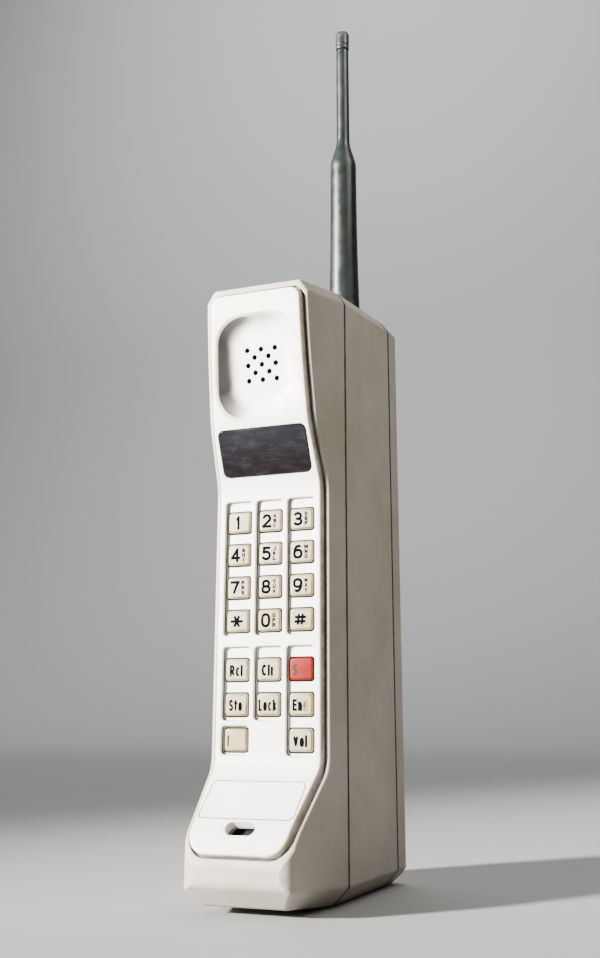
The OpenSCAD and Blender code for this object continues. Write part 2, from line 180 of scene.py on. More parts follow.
class Build:
    """Collects points and faces in millimetres, with a wear-and-shade value on each point."""

    def __init__(self):
        self.points, self.faces, self.wear_and_shade = [], [], []

    def add(self, pts, wear_and_shade=0.0):
        k = len(self.points)
        self.points += [tuple(p) for p in pts]
        self.wear_and_shade += [wear_and_shade] * len(pts) if np.isscalar(wear_and_shade) else list(wear_and_shade)
        return list(range(k, k + len(pts)))

    def face(self, ids):
        self.faces.append(tuple(ids))

    def strip(self, a, b):
        """Quads from loop a to loop b, facing outward where b lies within a."""
        for i in range(len(a)):
            j = (i + 1) % len(a)
            self.face((a[i], a[j], b[j], b[i]))

    def strips(self, loops):
        """Quads between each loop and the one after it."""
        for a, b in zip(loops, loops[1:]):
            self.strip(a, b)

    def fill(self, outer, holes=(), extra=((), ()), flip=False):
        """Triangles between loops. A loop is (point numbers, flat positions)."""
        ids, flat, edges = [], [], []
        for numbers, loop in (outer, *holes):
            k, n = len(flat), len(numbers)
            ids += list(numbers)
            flat += [tuple(p) for p in loop]
            edges += [(k + i, k + (i + 1) % n) for i in range(n)]
        ids += list(extra[0])
        flat += [tuple(p) for p in extra[1]]
        vs, es, fs, source, made, _ = delaunay_2d_cdt([Vector(p) for p in flat], edges, [], 0,
                                                      1e-7, True)
        walls = {frozenset(e) for e, m in zip(es, made) if m}
        spots = np.array([(p.x, p.y) for p in vs])
        for t in wanted(spots, fs, walls, outer[1], [loop for _, loop in holes]):
            if any(not source[i] for i in t):
                raise ValueError("loops cross in fill")
            f = [ids[source[i][0]] for i in t]
            self.face(f[::-1] if flip else f)

    def make(self, name, sharp=35, merge=True):
        me = bpy.data.meshes.new(name)
        me.from_pydata(self.points, [], self.faces)
        # the value carries rubbing, dirt and painted shade
        worn_and_shaded = me.attributes.new("wear_and_shade", "FLOAT", "POINT")
        worn_and_shaded.data.foreach_set("value", np.array(self.wear_and_shade, np.float32))
        bm = bmesh.new()
        bm.from_mesh(me)
        bpy.data.meshes.remove(me)
        if merge:
            bmesh.ops.remove_doubles(bm, verts=bm.verts, dist=2e-4)
            bmesh.ops.recalc_face_normals(bm, faces=bm.faces)
        return finish_mesh(name, bm, sharp)


# ---------------------------------------------------------------- casing sizes
# SEAM_1 is the middle of the front parting line, SEAM_2 the rear casing's face at the pack
HALF_W, SEAM_2 = box_mm("rear_casing")[1][:2]
BACK_Y = box_mm("battery_cover")[1][1]
BODY_H = 203.0  # height at SEAM_1
SEAM_GAP = 0.4
SEAM_1 = box_mm("front_casing")[1][1] + SEAM_GAP / 2
WALL = 2.2
SIDE_DRAFT, TOP_DRAFT, BASE_DRAFT, REAR_RISE = 0.116, 0.094, 0.089, 0.03

# ---------------------------------------------------------------- side profile
# y, z and how much of each leg the bend takes
PROFILE = [(-30.4, -5, 0), (-44.3, 8.9, 1.2), (-44.3, 15.2, 1.9), (-40.9, 22.4, 3.4),
           (-21.5, 41, 3.6), (-21.5, 132, 4.0), (-29.7, 152.5, 3.0), (-33.1, 172.5, 5),
           (-35, 188, 4), (-35.8, 198, 4), (-37.4, 214, 0)]


def side_curve():
    """Front line of the casing with its bends rounded: rows of s, y, z, normal y, normal z,
    bottom to top. s is the length along the line."""
    p = [np.array(q[:2], float) for q in PROFILE]
    soft = [q[2] for q in PROFILE]
    legs = [(b - a) / np.linalg.norm(b - a) for a, b in zip(p, p[1:])]
    pos, nor = [], []
    for i, u in enumerate(legs):
        ln = np.linalg.norm(p[i + 1] - p[i])
        for t in np.linspace(soft[i], ln - soft[i + 1], max(2, int(ln / 0.5))):
            pos.append(p[i] + u * t)
            nor.append(np.array([-u[1], u[0]]))
        if i + 1 == len(legs):
            break
        a0, a1 = (math.atan2(v[1], v[0]) for v in (u, legs[i + 1]))
        if abs(a1 - a0) < 1e-4:
            continue
        radius = math.copysign(soft[i + 1] / math.tan(abs(a1 - a0) / 2), a1 - a0)
        start = pos[-1]
        for a in np.linspace(a0, a1, 14)[1:-1]:
            pos.append(start + radius * np.array([math.sin(a) - math.sin(a0),
                                                  math.cos(a0) - math.cos(a)]))
            nor.append(np.array([-math.sin(a), math.cos(a)]))
    pos, nor = np.array(pos), np.array(nor)
    keep = np.r_[True, np.linalg.norm(np.diff(pos, axis=0), axis=1) > 1e-6]
    pos, nor = pos[keep], nor[keep]
    s = np.r_[0, np.cumsum(np.linalg.norm(np.diff(pos, axis=0), axis=1))]
    return np.column_stack([s, pos, nor])


CURVE = side_curve()
PROUD = 2.0  # the bezel's front stands this far off the casing line


def on_curve(s, off):
    """y and z at length s, off millimetres in front of the casing line."""
    y, z, ny, nz = (np.interp(s, CURVE[:, 0], CURVE[:, k]) for k in (1, 2, 3, 4))
    ln = np.hypot(ny, nz)
    return y + off * ny / ln, z + off * nz / ln


def s_of(y, z):
    """For each point, the length s whose normal passes through it, and how far in front of the
    casing line it is."""
    y, z = np.atleast_1d(y), np.atleast_1d(z)
    grid = np.linspace(CURVE[0, 0], CURVE[-1, 0], 4000)
    gy, gz = on_curve(grid, 0)
    ny, nz = (np.interp(grid, CURVE[:, 0], CURVE[:, k]) for k in (3, 4))
    k = ((y[:, None] - gy) ** 2 + (z[:, None] - gz) ** 2).argmin(1)
    dy, dz = y - gy[k], z - gz[k]
    return grid[k] - (dy * nz[k] - dz * ny[k]), dy * ny[k] + dz * nz[k]


def flattened(p):
    """Points in the bezel's flat coordinates: x and the length s."""
    return np.column_stack([p[:, 0], s_of(p[:, 1], p[:, 2])[0]])


def on_line(q, off):
    """Points of the casing's front at the flat positions q, off millimetres in front."""
    return np.stack([q[:, 0], *on_curve(q[:, 1], off)], 1)


def skin(q, depth):
    """Points of the bezel at the flat positions q, depth millimetres under its front."""
    return on_line(q, PROUD - depth)


def tipped(origin, tilt):
    """Plane tipped about x: a function from flat positions and a depth into it to points."""
    ca, sa = math.cos(math.radians(tilt)), math.sin(math.radians(tilt))

    def place(q, inward):
        return np.column_stack([q[:, 0], origin[0] + ca * inward - sa * q[:, 1],
                                origin[1] + sa * inward + ca * q[:, 1]])
    return place


EAR_MID, LENS_MID, MIC_MID = (-33.1, 172.5), (-28.01, 142.9), (-39.67, 23.58)
EAR = tipped((-30.7, 173.1), 10.3)
LENS = tipped(LENS_MID, 21.8)
PLATE = tipped((-31.96, 30.97), -46.2)
MIC = tipped(MIC_MID, -46.2)
S_FLAT = s_of(-21.5, 80)[0][0] - 80  # length s less height z, on the flat keypad stretch


# ---------------------------------------------------------------- front bezel
BEZEL_T = 2.95
KEY_W, KEY_H = 8.35, 7.05
KEY_GAP = 0.3
KEY_TOP = box_mm("key_1")[0][1]
# name in the frame, column, row, legend and small letters
KEYS = [("1", -1, 0, "1", ""), ("2", 0, 0, "2", "ABC"), ("3", 1, 0, "3", "DEF"),
        ("4", -1, 1, "4", "GHI"), ("5", 0, 1, "5", "JKL"), ("6", 1, 1, "6", "MNO"),
        ("7", -1, 2, "7", "PRS"), ("8", 0, 2, "8", "TUV"), ("9", 1, 2, "9", "WXY"),
        ("star", -1, 3, "*", ""), ("0", 0, 3, "0", "OPR"), ("hash", 1, 3, "#", ""),
        ("recall", -1, 4, "Rcl", ""), ("clear", 0, 4, "Clr", ""), ("send", 1, 4, "Snd", ""),
        ("store", -1, 5, "Sto", ""), ("lock", 0, 5, "Lock", ""), ("end", 1, 5, "End", ""),
        ("power", -1, 6, "Pwr", ""), ("volume", 1, 6, "Vol", "")]
KEY_AT = {(k[1], k[2]): (sum(box_mm("key_" + k[0])) / 2)[[0, 2]] for k in KEYS}
# column, rows, and how far the channel runs below its lowest and above its highest key
CHANNELS = [(c, (0, 1, 2, 3), 4.65, 7.15) for c in (-1, 0, 1)] + [
    (-1, (4, 5), 4.9, 7.4), (0, (4, 5), 4.9, 7.4), (1, (4, 5, 6), 4.7, 7.4),
    (-1, (6,), 4.45, 4.45)]
CHANNEL_W, CHANNEL_DEEP = 10.05, 1.4


def edge_x(s):
    """Half width of the bezel at length s."""
    return HALF_W + SIDE_DRAFT * (on_curve(s, PROUD)[0] - SEAM_1) - 2.114


def levels(a, b, fine=0.5, coarse=3.0):
    """Lengths from a to b, close together where the side line bends."""
    def slope(q):
        return math.atan2(np.interp(q, CURVE[:, 0], CURVE[:, 4]),
                          -np.interp(q, CURVE[:, 0], CURVE[:, 3]))
    out, s = [a], a
    while s < b - 1e-6:
        step = coarse
        while step > fine and abs(slope(s + step) - slope(s)) > math.radians(1.6):
            step /= 2
        s = min(s + max(step, fine), b)
        out.append(s)
    if out[-1] - out[-2] < fine * 0.6:
        del out[-2]
    return np.array(out)


def outline(s0, s1, r0, r1, half, n=12, ends=6):
    """Anticlockwise outline in (x, s): corners of radius r0 below and r1 above. half gives
    the half width at a length, and the level ends have ends pieces."""
    turn = np.radians(np.linspace(-90, 0, n + 1))
    low = [(s0 + r0 + r0 * math.sin(a), r0 * (math.cos(a) - 1)) for a in turn]
    high = [(s1 - r1 - r1 * math.sin(a), r1 * (math.cos(a) - 1)) for a in turn[::-1]]
    middle = [(s, 0) for s in levels(s0 + r0, s1 - r1)[1:-1]]
    right = np.array([(half(s) + dx, s) for s, dx in low + middle + high])
    w0, w1 = right[0, 0], right[-1, 0]
    top = [(w1 - 2 * w1 * i / ends, s1) for i in range(1, ends)]
    bottom = [(-w0 + 2 * w0 * i / ends, s0) for i in range(1, ends)]
    return np.vstack([right, np.array(top), right[::-1] * [-1, 1], np.array(bottom)])


S_LOW = s_of(-43.46, 16.97)[0][0]
GRID = np.linspace(CURVE[0, 0], CURVE[-1, 0], 6000)
S_TOP = float(np.interp(box_mm("front_bezel")[1][2], on_curve(GRID, PROUD)[1], GRID))


def through_skin(deep, outer, depth=0.0):
    """Where the lines from deep to outer cross the surface depth millimetres under the
    bezel's front."""
    lo, hi = np.zeros(len(deep)), np.full(len(deep), 1.3)
    for _ in range(40):
        mid = (lo + hi) / 2
        p = deep + (outer - deep) * mid[:, None]
        out = s_of(p[:, 1], p[:, 2])[1] > PROUD - depth
        hi, lo = np.where(out, mid, hi), np.where(out, lo, mid)
    return deep + (outer - deep) * ((lo + hi) / 2)[:, None]


def unit(v):
    """Each row at length 1."""
    return v / np.linalg.norm(v, axis=-1)[:, None]


def lip(b, p, inner, width, n=4, wear_and_shade=0.7, last=None):
    """Rounds the lip p of a hole in the bezel: from the surface, width outside p, over to
    width down the line towards inner. Returns the outermost loop and the last loop."""
    flat = flattened(p)
    rim = flat + loop_normals(flat) * width
    rows = bezier(skin(rim, 0), p, p + unit(inner - p) * width, n)
    wears = [wear_and_shade * 0.3] + [wear_and_shade] * (n - 2) + [wear_and_shade * 0.3 if last is None else last]
    ids = [b.add(q, w) for q, w in zip(rows, wears)]
    b.strips(ids)
    return (ids[0], rim), ids[-1]


def bezel_side(b):
    """Rounded rim and side wall of the bezel. Returns its front and back loops."""
    rim, wall_depths = 0.85, (1.5, 2.2, BEZEL_T)
    out = outline(S_LOW, S_TOP, 6.2, 3.8, lambda s: float(edge_x(s)))
    nrm = loop_normals(out)
    flats = [out - nrm * rim * (1 - si) for si, _ in quarter(5)]
    rows = [skin(q, rim * (1 - co)) for q, (_, co) in zip(flats, quarter(5))]
    for d in wall_depths:
        q = skin(out, d)
        q[:, 0] += nrm[:, 0] * SIDE_DRAFT * (q[:, 1] - rows[5][:, 1])
        rows.append(q)
    stained = np.where((out[:, 0] > 0) | (out[:, 1] < S_LOW + 6), 0.75, 0.25)
    ids = [b.add(q, stained * w)
           for q, w in zip(rows, (0, 0.1, 0.2, 0.35, 0.7, 1, 1, 0.8, 0.2))]
    b.strips(ids[::-1])
    return (ids[0], flats[0]), (ids[-1], out)


def key_channel(b, column, rows_in, below, above):
    """One sunk channel with its key windows. Returns its rim and the windows' back loops."""
    cx, low = KEY_AT[column, rows_in[-1]]
    high = KEY_AT[column, rows_in[0]][1]
    h, cz = high - low + above + below, (high + low + above - below) / 2 + S_FLAT
    cuts = (max(2, int(h / 3)), 3)
    rim, foot = 0.32, 0.25

    def loop(grow):
        return round_rect(CHANNEL_W + 2 * grow, h + 2 * grow, 1.3 + grow, 6, cuts, (cx, cz))
    rows = [(loop(rim * (1 - si)), rim * (1 - co), w)
            for (si, co), w in zip(quarter(3), (0.15, 0.6, 0.6, 0.15))]
    # the channel walls and floor corners are darkened, partly dirt and partly painted shade
    rows.append((rows[3][0], 1.15, -0.32))
    rows += [(loop(-foot * (1 - co)), CHANNEL_DEEP - foot * (1 - si), w)
             for (si, co), w in zip(quarter(3, 1), (-0.35, -0.2, 0))]
    # the left walls, turned from the light, get a stronger painted shade
    ids = [b.add(skin(q, d), np.where(q[:, 0] < cx - 4, w * 2.2, w)
                 if w < 0 else w) for q, d, w in rows]
    b.strips(ids)
    windows, backs = [], []
    for row in rows_in:
        at = (cx, KEY_AT[column, row][1] + S_FLAT)
        loops = []
        # the window loops darken towards the key: painted shadow in the gap round it, with some
        # dirt
        for o, d, w in ((0.27, CHANNEL_DEEP, 0.0), (0.13, CHANNEL_DEEP, -0.55),
                        (0.04, 1.45, -0.9), (0.0, 1.58, -0.9), (0.0, BEZEL_T, -0.9)):
            grow = 2 * (o + KEY_GAP)
            q = round_rect(KEY_W + grow, KEY_H + grow, 1.1 + o, 5, at=at)
            loops.append((b.add(skin(q, d), w), q))
        b.strips([ids_ for ids_, _ in loops])
        windows.append(loops[0])
        backs.append(loops[-1])
    b.fill((ids[-1], rows[-1][0]), windows)
    return (ids[0], rows[0][0]), backs


def display_recess(b):
    """Flat-floored recess that the window sits in, open behind it."""
    big, small = round_rect(33.5, 16.9, 2.4, 8, (8, 8)), round_rect(29, 12.6, 1.5, 8, (8, 8))
    floor = LENS(big, 1.5)
    top = through_skin(floor, LENS(big, -3))
    rim, last = lip(b, top, floor, 0.28, 4, 0.4)
    deep = through_skin(LENS(small, 6), LENS(small, 0), BEZEL_T)
    # the floor round the window is darkened: painted shadow in the gap
    ids = [last, b.add(floor, -0.9), b.add(LENS(small, 1.5), -0.9), b.add(deep)]
    b.strips(ids)
    return rim, [(ids[-1], flattened(deep))]


def plate_recess(b):
    """Shallow recess of the blank name plate."""
    shape = round_rect(32.9, 14.9, 2.1, 8, (6, 8))
    floor = PLATE(shape, -1.6)
    top = through_skin(floor, PLATE(shape, -5))
    rim, last = lip(b, top, floor, 0.12, 3, 0.0, -0.9)
    ids = b.add(floor, -0.9)
    b.strip(last, ids)
    b.fill((ids, shape))
    return rim, []


def microphone_port(b):
    """Slot right through the bezel at its foot."""
    port = round_rect(10, 4.6, 2.2, 8, (1, 6))
    back = through_skin(MIC(port, 5), MIC(port, 0), BEZEL_T)
    top = through_skin(back, MIC(port, -6))
    rim, last = lip(b, top, back, 0.3, 4, 0.4)
    ids = b.add(back, -0.4)
    b.strip(last, ids)
    return rim, [(ids, flattened(back))]


def bowl_shade_and_stains(q):
    """Painted shade with some dirt on the earpiece bowl's left and upper walls, which are turned
    from the light, and a light stain on the right.
    """
    shaded_side = np.clip(-q[:, 0] / 12, 0, 1) + np.clip((q[:, 2] - 176) / 24, 0, 0.6)
    return np.where(q[:, 0] > 8, 0.35, -0.52 * np.clip(shaded_side, 0, 1))


def sound_holes(b):
    """The 13 round holes of the bowl's floor. Returns their front and back loops."""
    pitch, radius = 5.35, 0.93
    turn = np.linspace(0, 2 * math.pi, 25)[:-1]
    circle = np.column_stack([np.cos(turn), np.sin(turn)])
    fronts, backs = [], []
    for row in range(-2, 3):
        for i in range(3 if row % 2 == 0 else 2):
            at = ((i - (1 if row % 2 == 0 else 0.5)) * pitch, row * pitch / 2)
            loops = [(circle * r + at, d, w) for r, d, w in (
                (1.05, 0, 0), (0.97, 0.03, 0), (radius, 0.12, -0.8), (radius, 1.6, -0.9))]
            ids = [b.add(EAR(q, d), w) for q, d, w in loops]
            b.strips(ids)
            fronts.append((ids[0], loops[0][0]))
            backs.append((ids[-1], loops[-1][0]))
    return fronts, backs


def earpiece_bowl(b):
    """Sloping walls, soft floor, sound holes, and the shell behind them."""
    low, high = round_rect(23.2, 28.4, 9.5, 10, (12, 10)), round_rect(34.1, 40.5, 9.4, 10, (12, 10))
    deep = EAR(low, 0)
    top = through_skin(deep, EAR(high, -6))
    # the lip's last row and the walls below carry the bowl's painted shade and stains
    rim, last = lip(b, top, deep, 0.8, 6, 0.5, bowl_shade_and_stains(top))
    soft, steps = 3.0, 9
    floor = low - loop_normals(low) * soft
    rows = bezier(deep + unit(top - deep) * soft, deep, EAR(floor, 0), steps)
    ids = [last] + [b.add(q, bowl_shade_and_stains(q) * (1 - (k / (steps - 1)) ** 1.5))
                    for k, q in enumerate(rows)]
    b.strips(ids)
    fronts, backs = sound_holes(b)
    b.fill((ids[-1], floor), fronts)
    low, high = round_rect(24.8, 30, 5.5, 10, (12, 10)), round_rect(31.8, 38.2, 8, 10, (12, 10))
    shell = EAR(low, 1.6)
    wall = through_skin(shell, EAR(high, -3.2), BEZEL_T)
    ids = [b.add(shell), b.add(wall)]
    b.strips(ids)
    b.fill((ids[0], low), backs, flip=True)
    return rim, [(ids[1], flattened(wall))]


def make_bezel():
    """The white moulding with its openings, front and back."""
    b = Build()
    front, back = bezel_side(b)
    openings = [key_channel(b, *c) for c in CHANNELS]
    openings += [f(b) for f in (display_recess, plate_recess, microphone_port, earpiece_bowl)]
    rims = [rim for rim, _ in openings]
    backs = [loop for _, loops in openings for loop in loops]
    for outer, holes, depth, flip in ((front, rims, 0, False), (back, backs, BEZEL_T, True)):
        pts = scatter(np.arange(-16.8, 16.81, 1.4), levels(S_LOW + 1.2, S_TOP - 1.2),
                      outer[1], [loop for _, loop in holes], 0.55)
        b.fill(outer, holes, (b.add(skin(pts, depth)), pts), flip)
    return b.make("bezel_moulding")


bezel = stands_for(make_bezel(), "front_bezel", "phone", "bezel")


# ---------------------------------------------------------------- front casing
FOOT_Y = PROFILE[1][0]  # the foot's foremost line
FOOT_R = 5.3
FOOT_SLOPE = math.hypot(1, SIDE_DRAFT)
FOOT_CX = HALF_W + SIDE_DRAFT * (FOOT_Y - SEAM_1) - (FOOT_SLOPE - SIDE_DRAFT) * FOOT_R
FOOT_CY = FOOT_Y + FOOT_R
SHOULDER_X, SHOULDER_Z = 3, 4.5
SECTION_R = 0.7  # how much of each edge the rounding of the section's corners takes


def section_corners(y, inset):
    """Right-hand corners of the front casing's section at depth y: base, under-chamfer top,
    shoulder bottom and shoulder top."""
    dy = y - SEAM_1
    side = HALF_W + SIDE_DRAFT * dy
    x = side
    if y < FOOT_CY:
        x = min(x, FOOT_CX + math.sqrt(max(0.0, FOOT_R ** 2 - (y - FOOT_CY) ** 2)))
    low, high = -BASE_DRAFT * dy, BODY_H + TOP_DRAFT * dy
    under = 17.2 + (SIDE_DRAFT + BASE_DRAFT) * dy - inset * math.sqrt(2)
    slope = (SHOULDER_Z * side + SHOULDER_X * (high - SHOULDER_Z)
             - inset * math.hypot(SHOULDER_X, SHOULDER_Z))
    x, low, high = x - inset, low + inset, high - inset
    return [np.array(q) for q in (
        (min(x - 0.05, under + low), low), (x, max(low + 0.05, x - under)),
        (x, (slope - SHOULDER_Z * x) / SHOULDER_X),
        ((slope - SHOULDER_X * high) / SHOULDER_Z, high))]


def at_depth(sample, y, inset=0.0):
    """x and z at depth y of a sample (kind, corner, t): a place in a corner's rounding or on
    the run after it. Corner -1's run is the right half of the base, and corner 3's of the top."""
    kind, corner, t = sample
    if kind == "side" and corner in (-1, 3):
        sign = 1 if corner == 3 else -1
        x, z = at_depth(("round", max(corner, 0), max(sign, 0)), y, inset)
        return np.array([x * sign * (1 - 2 * t), z])
    c = section_corners(y, inset)
    c = [c[0] * [-1, 1], *c, c[3] * [-1, 1]]

    def near(a, b):
        ln = np.linalg.norm(b - a)
        return a + (b - a) / ln * min(SECTION_R, 0.45 * ln)
    before, here, after = c[corner:corner + 3]
    if kind == "round":
        p0, p2 = near(here, before), near(here, after)
        return (1 - t) ** 2 * p0 + 2 * t * (1 - t) * here + t * t * p2
    p0, p2 = near(here, after), near(after, here)
    return p0 + (p2 - p0) * t


def on_front(sample, inset=0.0, off=0.0):
    """Where the sample meets the line off millimetres in front of the casing: x, y, z."""
    yy, zz = on_curve(CURVE[:, 0], off)
    y = -36.0
    for _ in range(60):
        z = at_depth(sample, y, inset)[1]
        y = 0.6 * y + 0.4 * float(np.interp(z, zz, yy))
    x, z = at_depth(sample, y, inset)
    return x, y, z


def front_samples():
    """Samples for the right half, with the upright side cut where the front bends."""
    out = [("side", -1, t) for t in (0.5, 0.65, 0.8, 0.9)]
    for corner, cuts in ((0, 4), (1, 0), (2, 3), (3, 0)):
        out += [("round", corner, t) for t in np.linspace(0, 1, 5)]
        if corner == 1:
            lo, hi = on_front(("round", 1, 1.0))[2], on_front(("round", 2, 0.0))[2]
            s0, s1 = (s_of(np.interp(z, CURVE[:, 2], CURVE[:, 1]), z)[0][0] for z in (lo, hi))
            out += [("side", 1, (float(on_curve(s, 0)[1]) - lo) / (hi - lo))
                    for s in levels(s0, s1, 0.5, 4.0)[1:-1]]
        elif cuts:
            out += [("side", corner, t) for t in np.linspace(0, 1, cuts + 2)[1:-1]]
    return out + [("side", 3, t) for t in (0.1, 0.2, 0.35, 0.5)]


def mirror_loop(right):
    """Closed loop from its right half, whose first and last points are on the middle line."""
    return np.vstack([right, (right * ([-1] + [1] * (right.shape[1] - 1)))[-2:0:-1]])


def right_half(points):
    """The points with the first and the last put on the middle line."""
    out = np.array(points)
    out[0, 0] = out[-1, 0] = 0.0
    return out


def casing_skin(b, samples, wall):
    """Outer skin from the front's rounded edge back to the seam. Returns the front's flat
    outline and the front and seam loops."""
    r = 1.1
    edge = np.array([on_front(s) for s in samples])
    front = right_half([on_front(s, r) for s in samples])
    run = np.full(len(samples), r)
    for _ in range(6):
        ln = np.linalg.norm(wall(edge[:, 1] + run) - edge, axis=1)
        run = np.clip(run * r / np.maximum(ln, 1e-6), 0.02, 2.0)
    start = edge[:, 1] + run
    rows = bezier(front, edge, wall(start), 6)
    seam = SEAM_1 - SEAM_GAP / 2
    foot = start < FOOT_CY
    middle = np.where(foot, FOOT_CY + 0.3, start + 3)
    for k, (_, co) in enumerate(quarter(7, 1), 1):
        arc_y = FOOT_CY - (FOOT_CY - start) * co + 0.3 * k / 7
        rows.append(wall(np.where(foot, arc_y, start + (middle - start) * k / 7)))
    rows += [wall(middle + (seam - 0.25 - middle) * k) for k in (0.35, 0.7)]
    rows += [wall(np.full(len(samples), seam - back), inset)
             for back, inset in ((0.22, 0), (0.07, 0.015), (0, 0.07))]
    wears = [0.1, 0.8, 1, 1, 0.8] + [0] * (len(rows) - 7) + [-0.7, -0.9]
    ids = [b.add(mirror_loop(q), w) for q, w in zip(rows, wears)]
    b.strips(ids[::-1])
    return mirror_loop(flattened(front)), ids[0], ids[-1]


def make_front_casing():
    """Front casing: skin, cavity, the bezel's recess and the openings in its floor."""
    b = Build()
    samples = front_samples()

    def wall(depths, inset=0.0):
        return right_half([(x, y, z) for s, y in zip(samples, depths)
                           for x, z in (at_depth(s, y, inset),)])
    flat_out, front_ids, seam_ids = casing_skin(b, samples, wall)
    # the cavity behind the front wall
    floor_off, inner_off = -1.0, -2.8
    seam = SEAM_1 - SEAM_GAP / 2
    deep = right_half([on_front(s, WALL, inner_off) for s in samples])
    mouth, cavity = (b.add(mirror_loop(q)) for q in (wall([seam] * len(samples), WALL), deep))
    b.strips([cavity, mouth, seam_ids])
    # rim and the recess that takes the bezel, its corners outside the bezel's by the gap; the
    # recess floor is darkened, dirt with painted shade in the gap
    gap, rim_w = 0.65, 1.46
    rec = outline(S_LOW - gap, S_TOP + gap, 6.2 + gap, 3.8 + gap,
                  lambda s: float(HALF_W + SIDE_DRAFT * (on_curve(s, 0)[0] - SEAM_1) - rim_w))
    rims = []
    for out, deep_by, w in ((0.2, 0, 0.1), (0.06, 0.06, 0.6), (0, 0.2, 0.2), (0, 1.0, -0.8)):
        q = rec + loop_normals(rec) * out
        rims.append((b.add(on_line(q, -deep_by), w), q))
    b.strips([ids for ids, _ in rims])
    pts = scatter(np.arange(-18, 18.1, 1.5), levels(flat_out[:, 1].min() + 0.5, S_TOP + 2),
                  flat_out, [rims[0][1]], 0.45)
    b.fill((front_ids, flat_out), [rims[0]], (b.add(on_line(pts, 0)), pts))
    # recess floor and its openings for the keys, the display, the earpiece and the microphone
    openings = [round_rect(34, 82.6, 1.0, 4, (12, 4), (0, 85.9 + S_FLAT)),
                round_rect(31, 13.6, 1.0, 4, (4, 4), (0, s_of(*LENS_MID)[0][0])),
                round_rect(31.2, 38.2, 8, 8, (6, 4), (0, s_of(*EAR_MID)[0][0] + 0.6)),
                round_rect(10.6, 10.6, 5.29, 8, (1, 1), (0, s_of(*MIC_MID)[0][0]))]
    # the floor and the openings' tops are darkened: dirt with painted shade under the gap round the
    # bezel
    tops = [(b.add(on_line(q, floor_off), -0.8), q) for q in openings]
    lows = [(b.add(on_line(q, inner_off)), q) for q in openings]
    for (top, _), (low, _) in zip(tops, lows):
        b.strip(top, low)
    for outer, holes, off, w, flip in ((rims[-1], tops, floor_off, -0.8, False), (
            (cavity, mirror_loop(flattened(deep))), lows, inner_off, 0, True)):
        pts = scatter(np.arange(-18, 18.1, 2.0), levels(S_LOW, S_TOP, 0.5, 4), outer[1],
                      openings, 0.7)
        b.fill(outer, holes, (b.add(on_line(pts, off), w), pts), flip)
    return b.make("front_half", 38)


front_half = stands_for(make_front_casing(), "front_casing", "phone", "shell")


# ---------------------------------------------------------------- pieces made from CAD nodes
def cad_copy(node):
    """A CAD node as a bmesh in millimetres, with its flat faces whole."""
    bm = bmesh.new()
    bm.from_mesh(NODES[node].data)
    bmesh.ops.transform(bm, matrix=NODES[node].matrix_world, verts=bm.verts)
    bmesh.ops.scale(bm, vec=(1 / MM,) * 3, verts=bm.verts)
    bmesh.ops.remove_doubles(bm, verts=bm.verts, dist=2e-3)
    bmesh.ops.dissolve_limit(bm, angle_limit=math.radians(0.3), verts=bm.verts, edges=bm.edges)
    return bm


def bevel(bm, edges, width, pieces, clamp):
    """The new faces of a rounding of width millimetres along the edges."""
    return set(bmesh.ops.bevel(bm, geom=edges, offset=width, offset_type="OFFSET",
                               segments=pieces, profile=0.5, affect="EDGES",
                               clamp_overlap=clamp, material=-1)["faces"])


def broken_edges(node, name, width, body, slot):
    """Copy of a CAD node with every sharp edge broken by width millimetres."""
    bm = cad_copy(node)
    wear_and_shade = bm.verts.layers.float.new("wear_and_shade")
    sharp = [e for e in bm.edges if len(e.link_faces) == 2
             and e.calc_face_angle(0) > math.radians(40)]
    new = bevel(bm, sharp, width, 2, True)
    for v in {v for f in new for v in f.verts}:
        if all(f in new for f in v.link_faces):
            v[wear_and_shade] = 0.8
    return stands_for(finish_mesh(name, bm, 32), node, body, slot)


def mirrored(name, point, normal):
    """A right-hand plane and its mirror image."""
    return [(name, point, normal), (name, (-point[0], *point[1:]), (-normal[0], *normal[1:]))]


FLAT_AT_PACK = SEAM_2 + SEAM_GAP  # the pack cover's face at the seam
REAR_PLANES = [
    *mirrored("side", (HALF_W, SEAM_1, 0), (1, 0, 0)),
    ("top", (0, SEAM_1, BODY_H), (0, -REAR_RISE, 1)), ("base", (0, 0, 0), (0, 0, -1)),
    *mirrored("under", (HALF_W, 0, 5.5), (1, 0, -1)),
    *mirrored("shoulder", (HALF_W, SEAM_1, BODY_H - SHOULDER_Z),
              (SHOULDER_Z, -SHOULDER_X * REAR_RISE, SHOULDER_X)),
    ("seam", (0, SEAM_1 + SEAM_GAP / 2, 0), (0, -1, 0)), ("seam", (0, SEAM_2, 0), (0, 1, 0)),
    ("seam", (0, FLAT_AT_PACK, 0), (0, -1, 0)), ("back", (0, BACK_Y, 0), (0, 1, 0)),
    ("slope", (0, SEAM_2 + 1.4, BODY_H + REAR_RISE * (SEAM_2 - SEAM_1)), (0, 0.62, 1)),
    ("heel", (0, BACK_Y, 3), (0, 1, -1)),
    *mirrored("arris", (HALF_W, BACK_Y - 2, 0), (1, 1, 0))]
OUTSIDE = {"side", "top", "shoulder", "under", "base"}
OUTER_EDGES = ({"side", "shoulder"}, {"side", "under"}, {"shoulder", "top"}, {"base", "under"})
EDGE_R, SEAM_EDGE_R = 0.6, 0.22


def plane_of(face):
    """Name of the outer plane that the face lies in, or nothing."""
    for name, point, normal in REAR_PLANES:
        n = Vector(normal).normalized()
        if face.normal.dot(n) > 0.9998 and abs((face.verts[0].co - Vector(point)).dot(n)) < 0.03:
            return name
    return ""


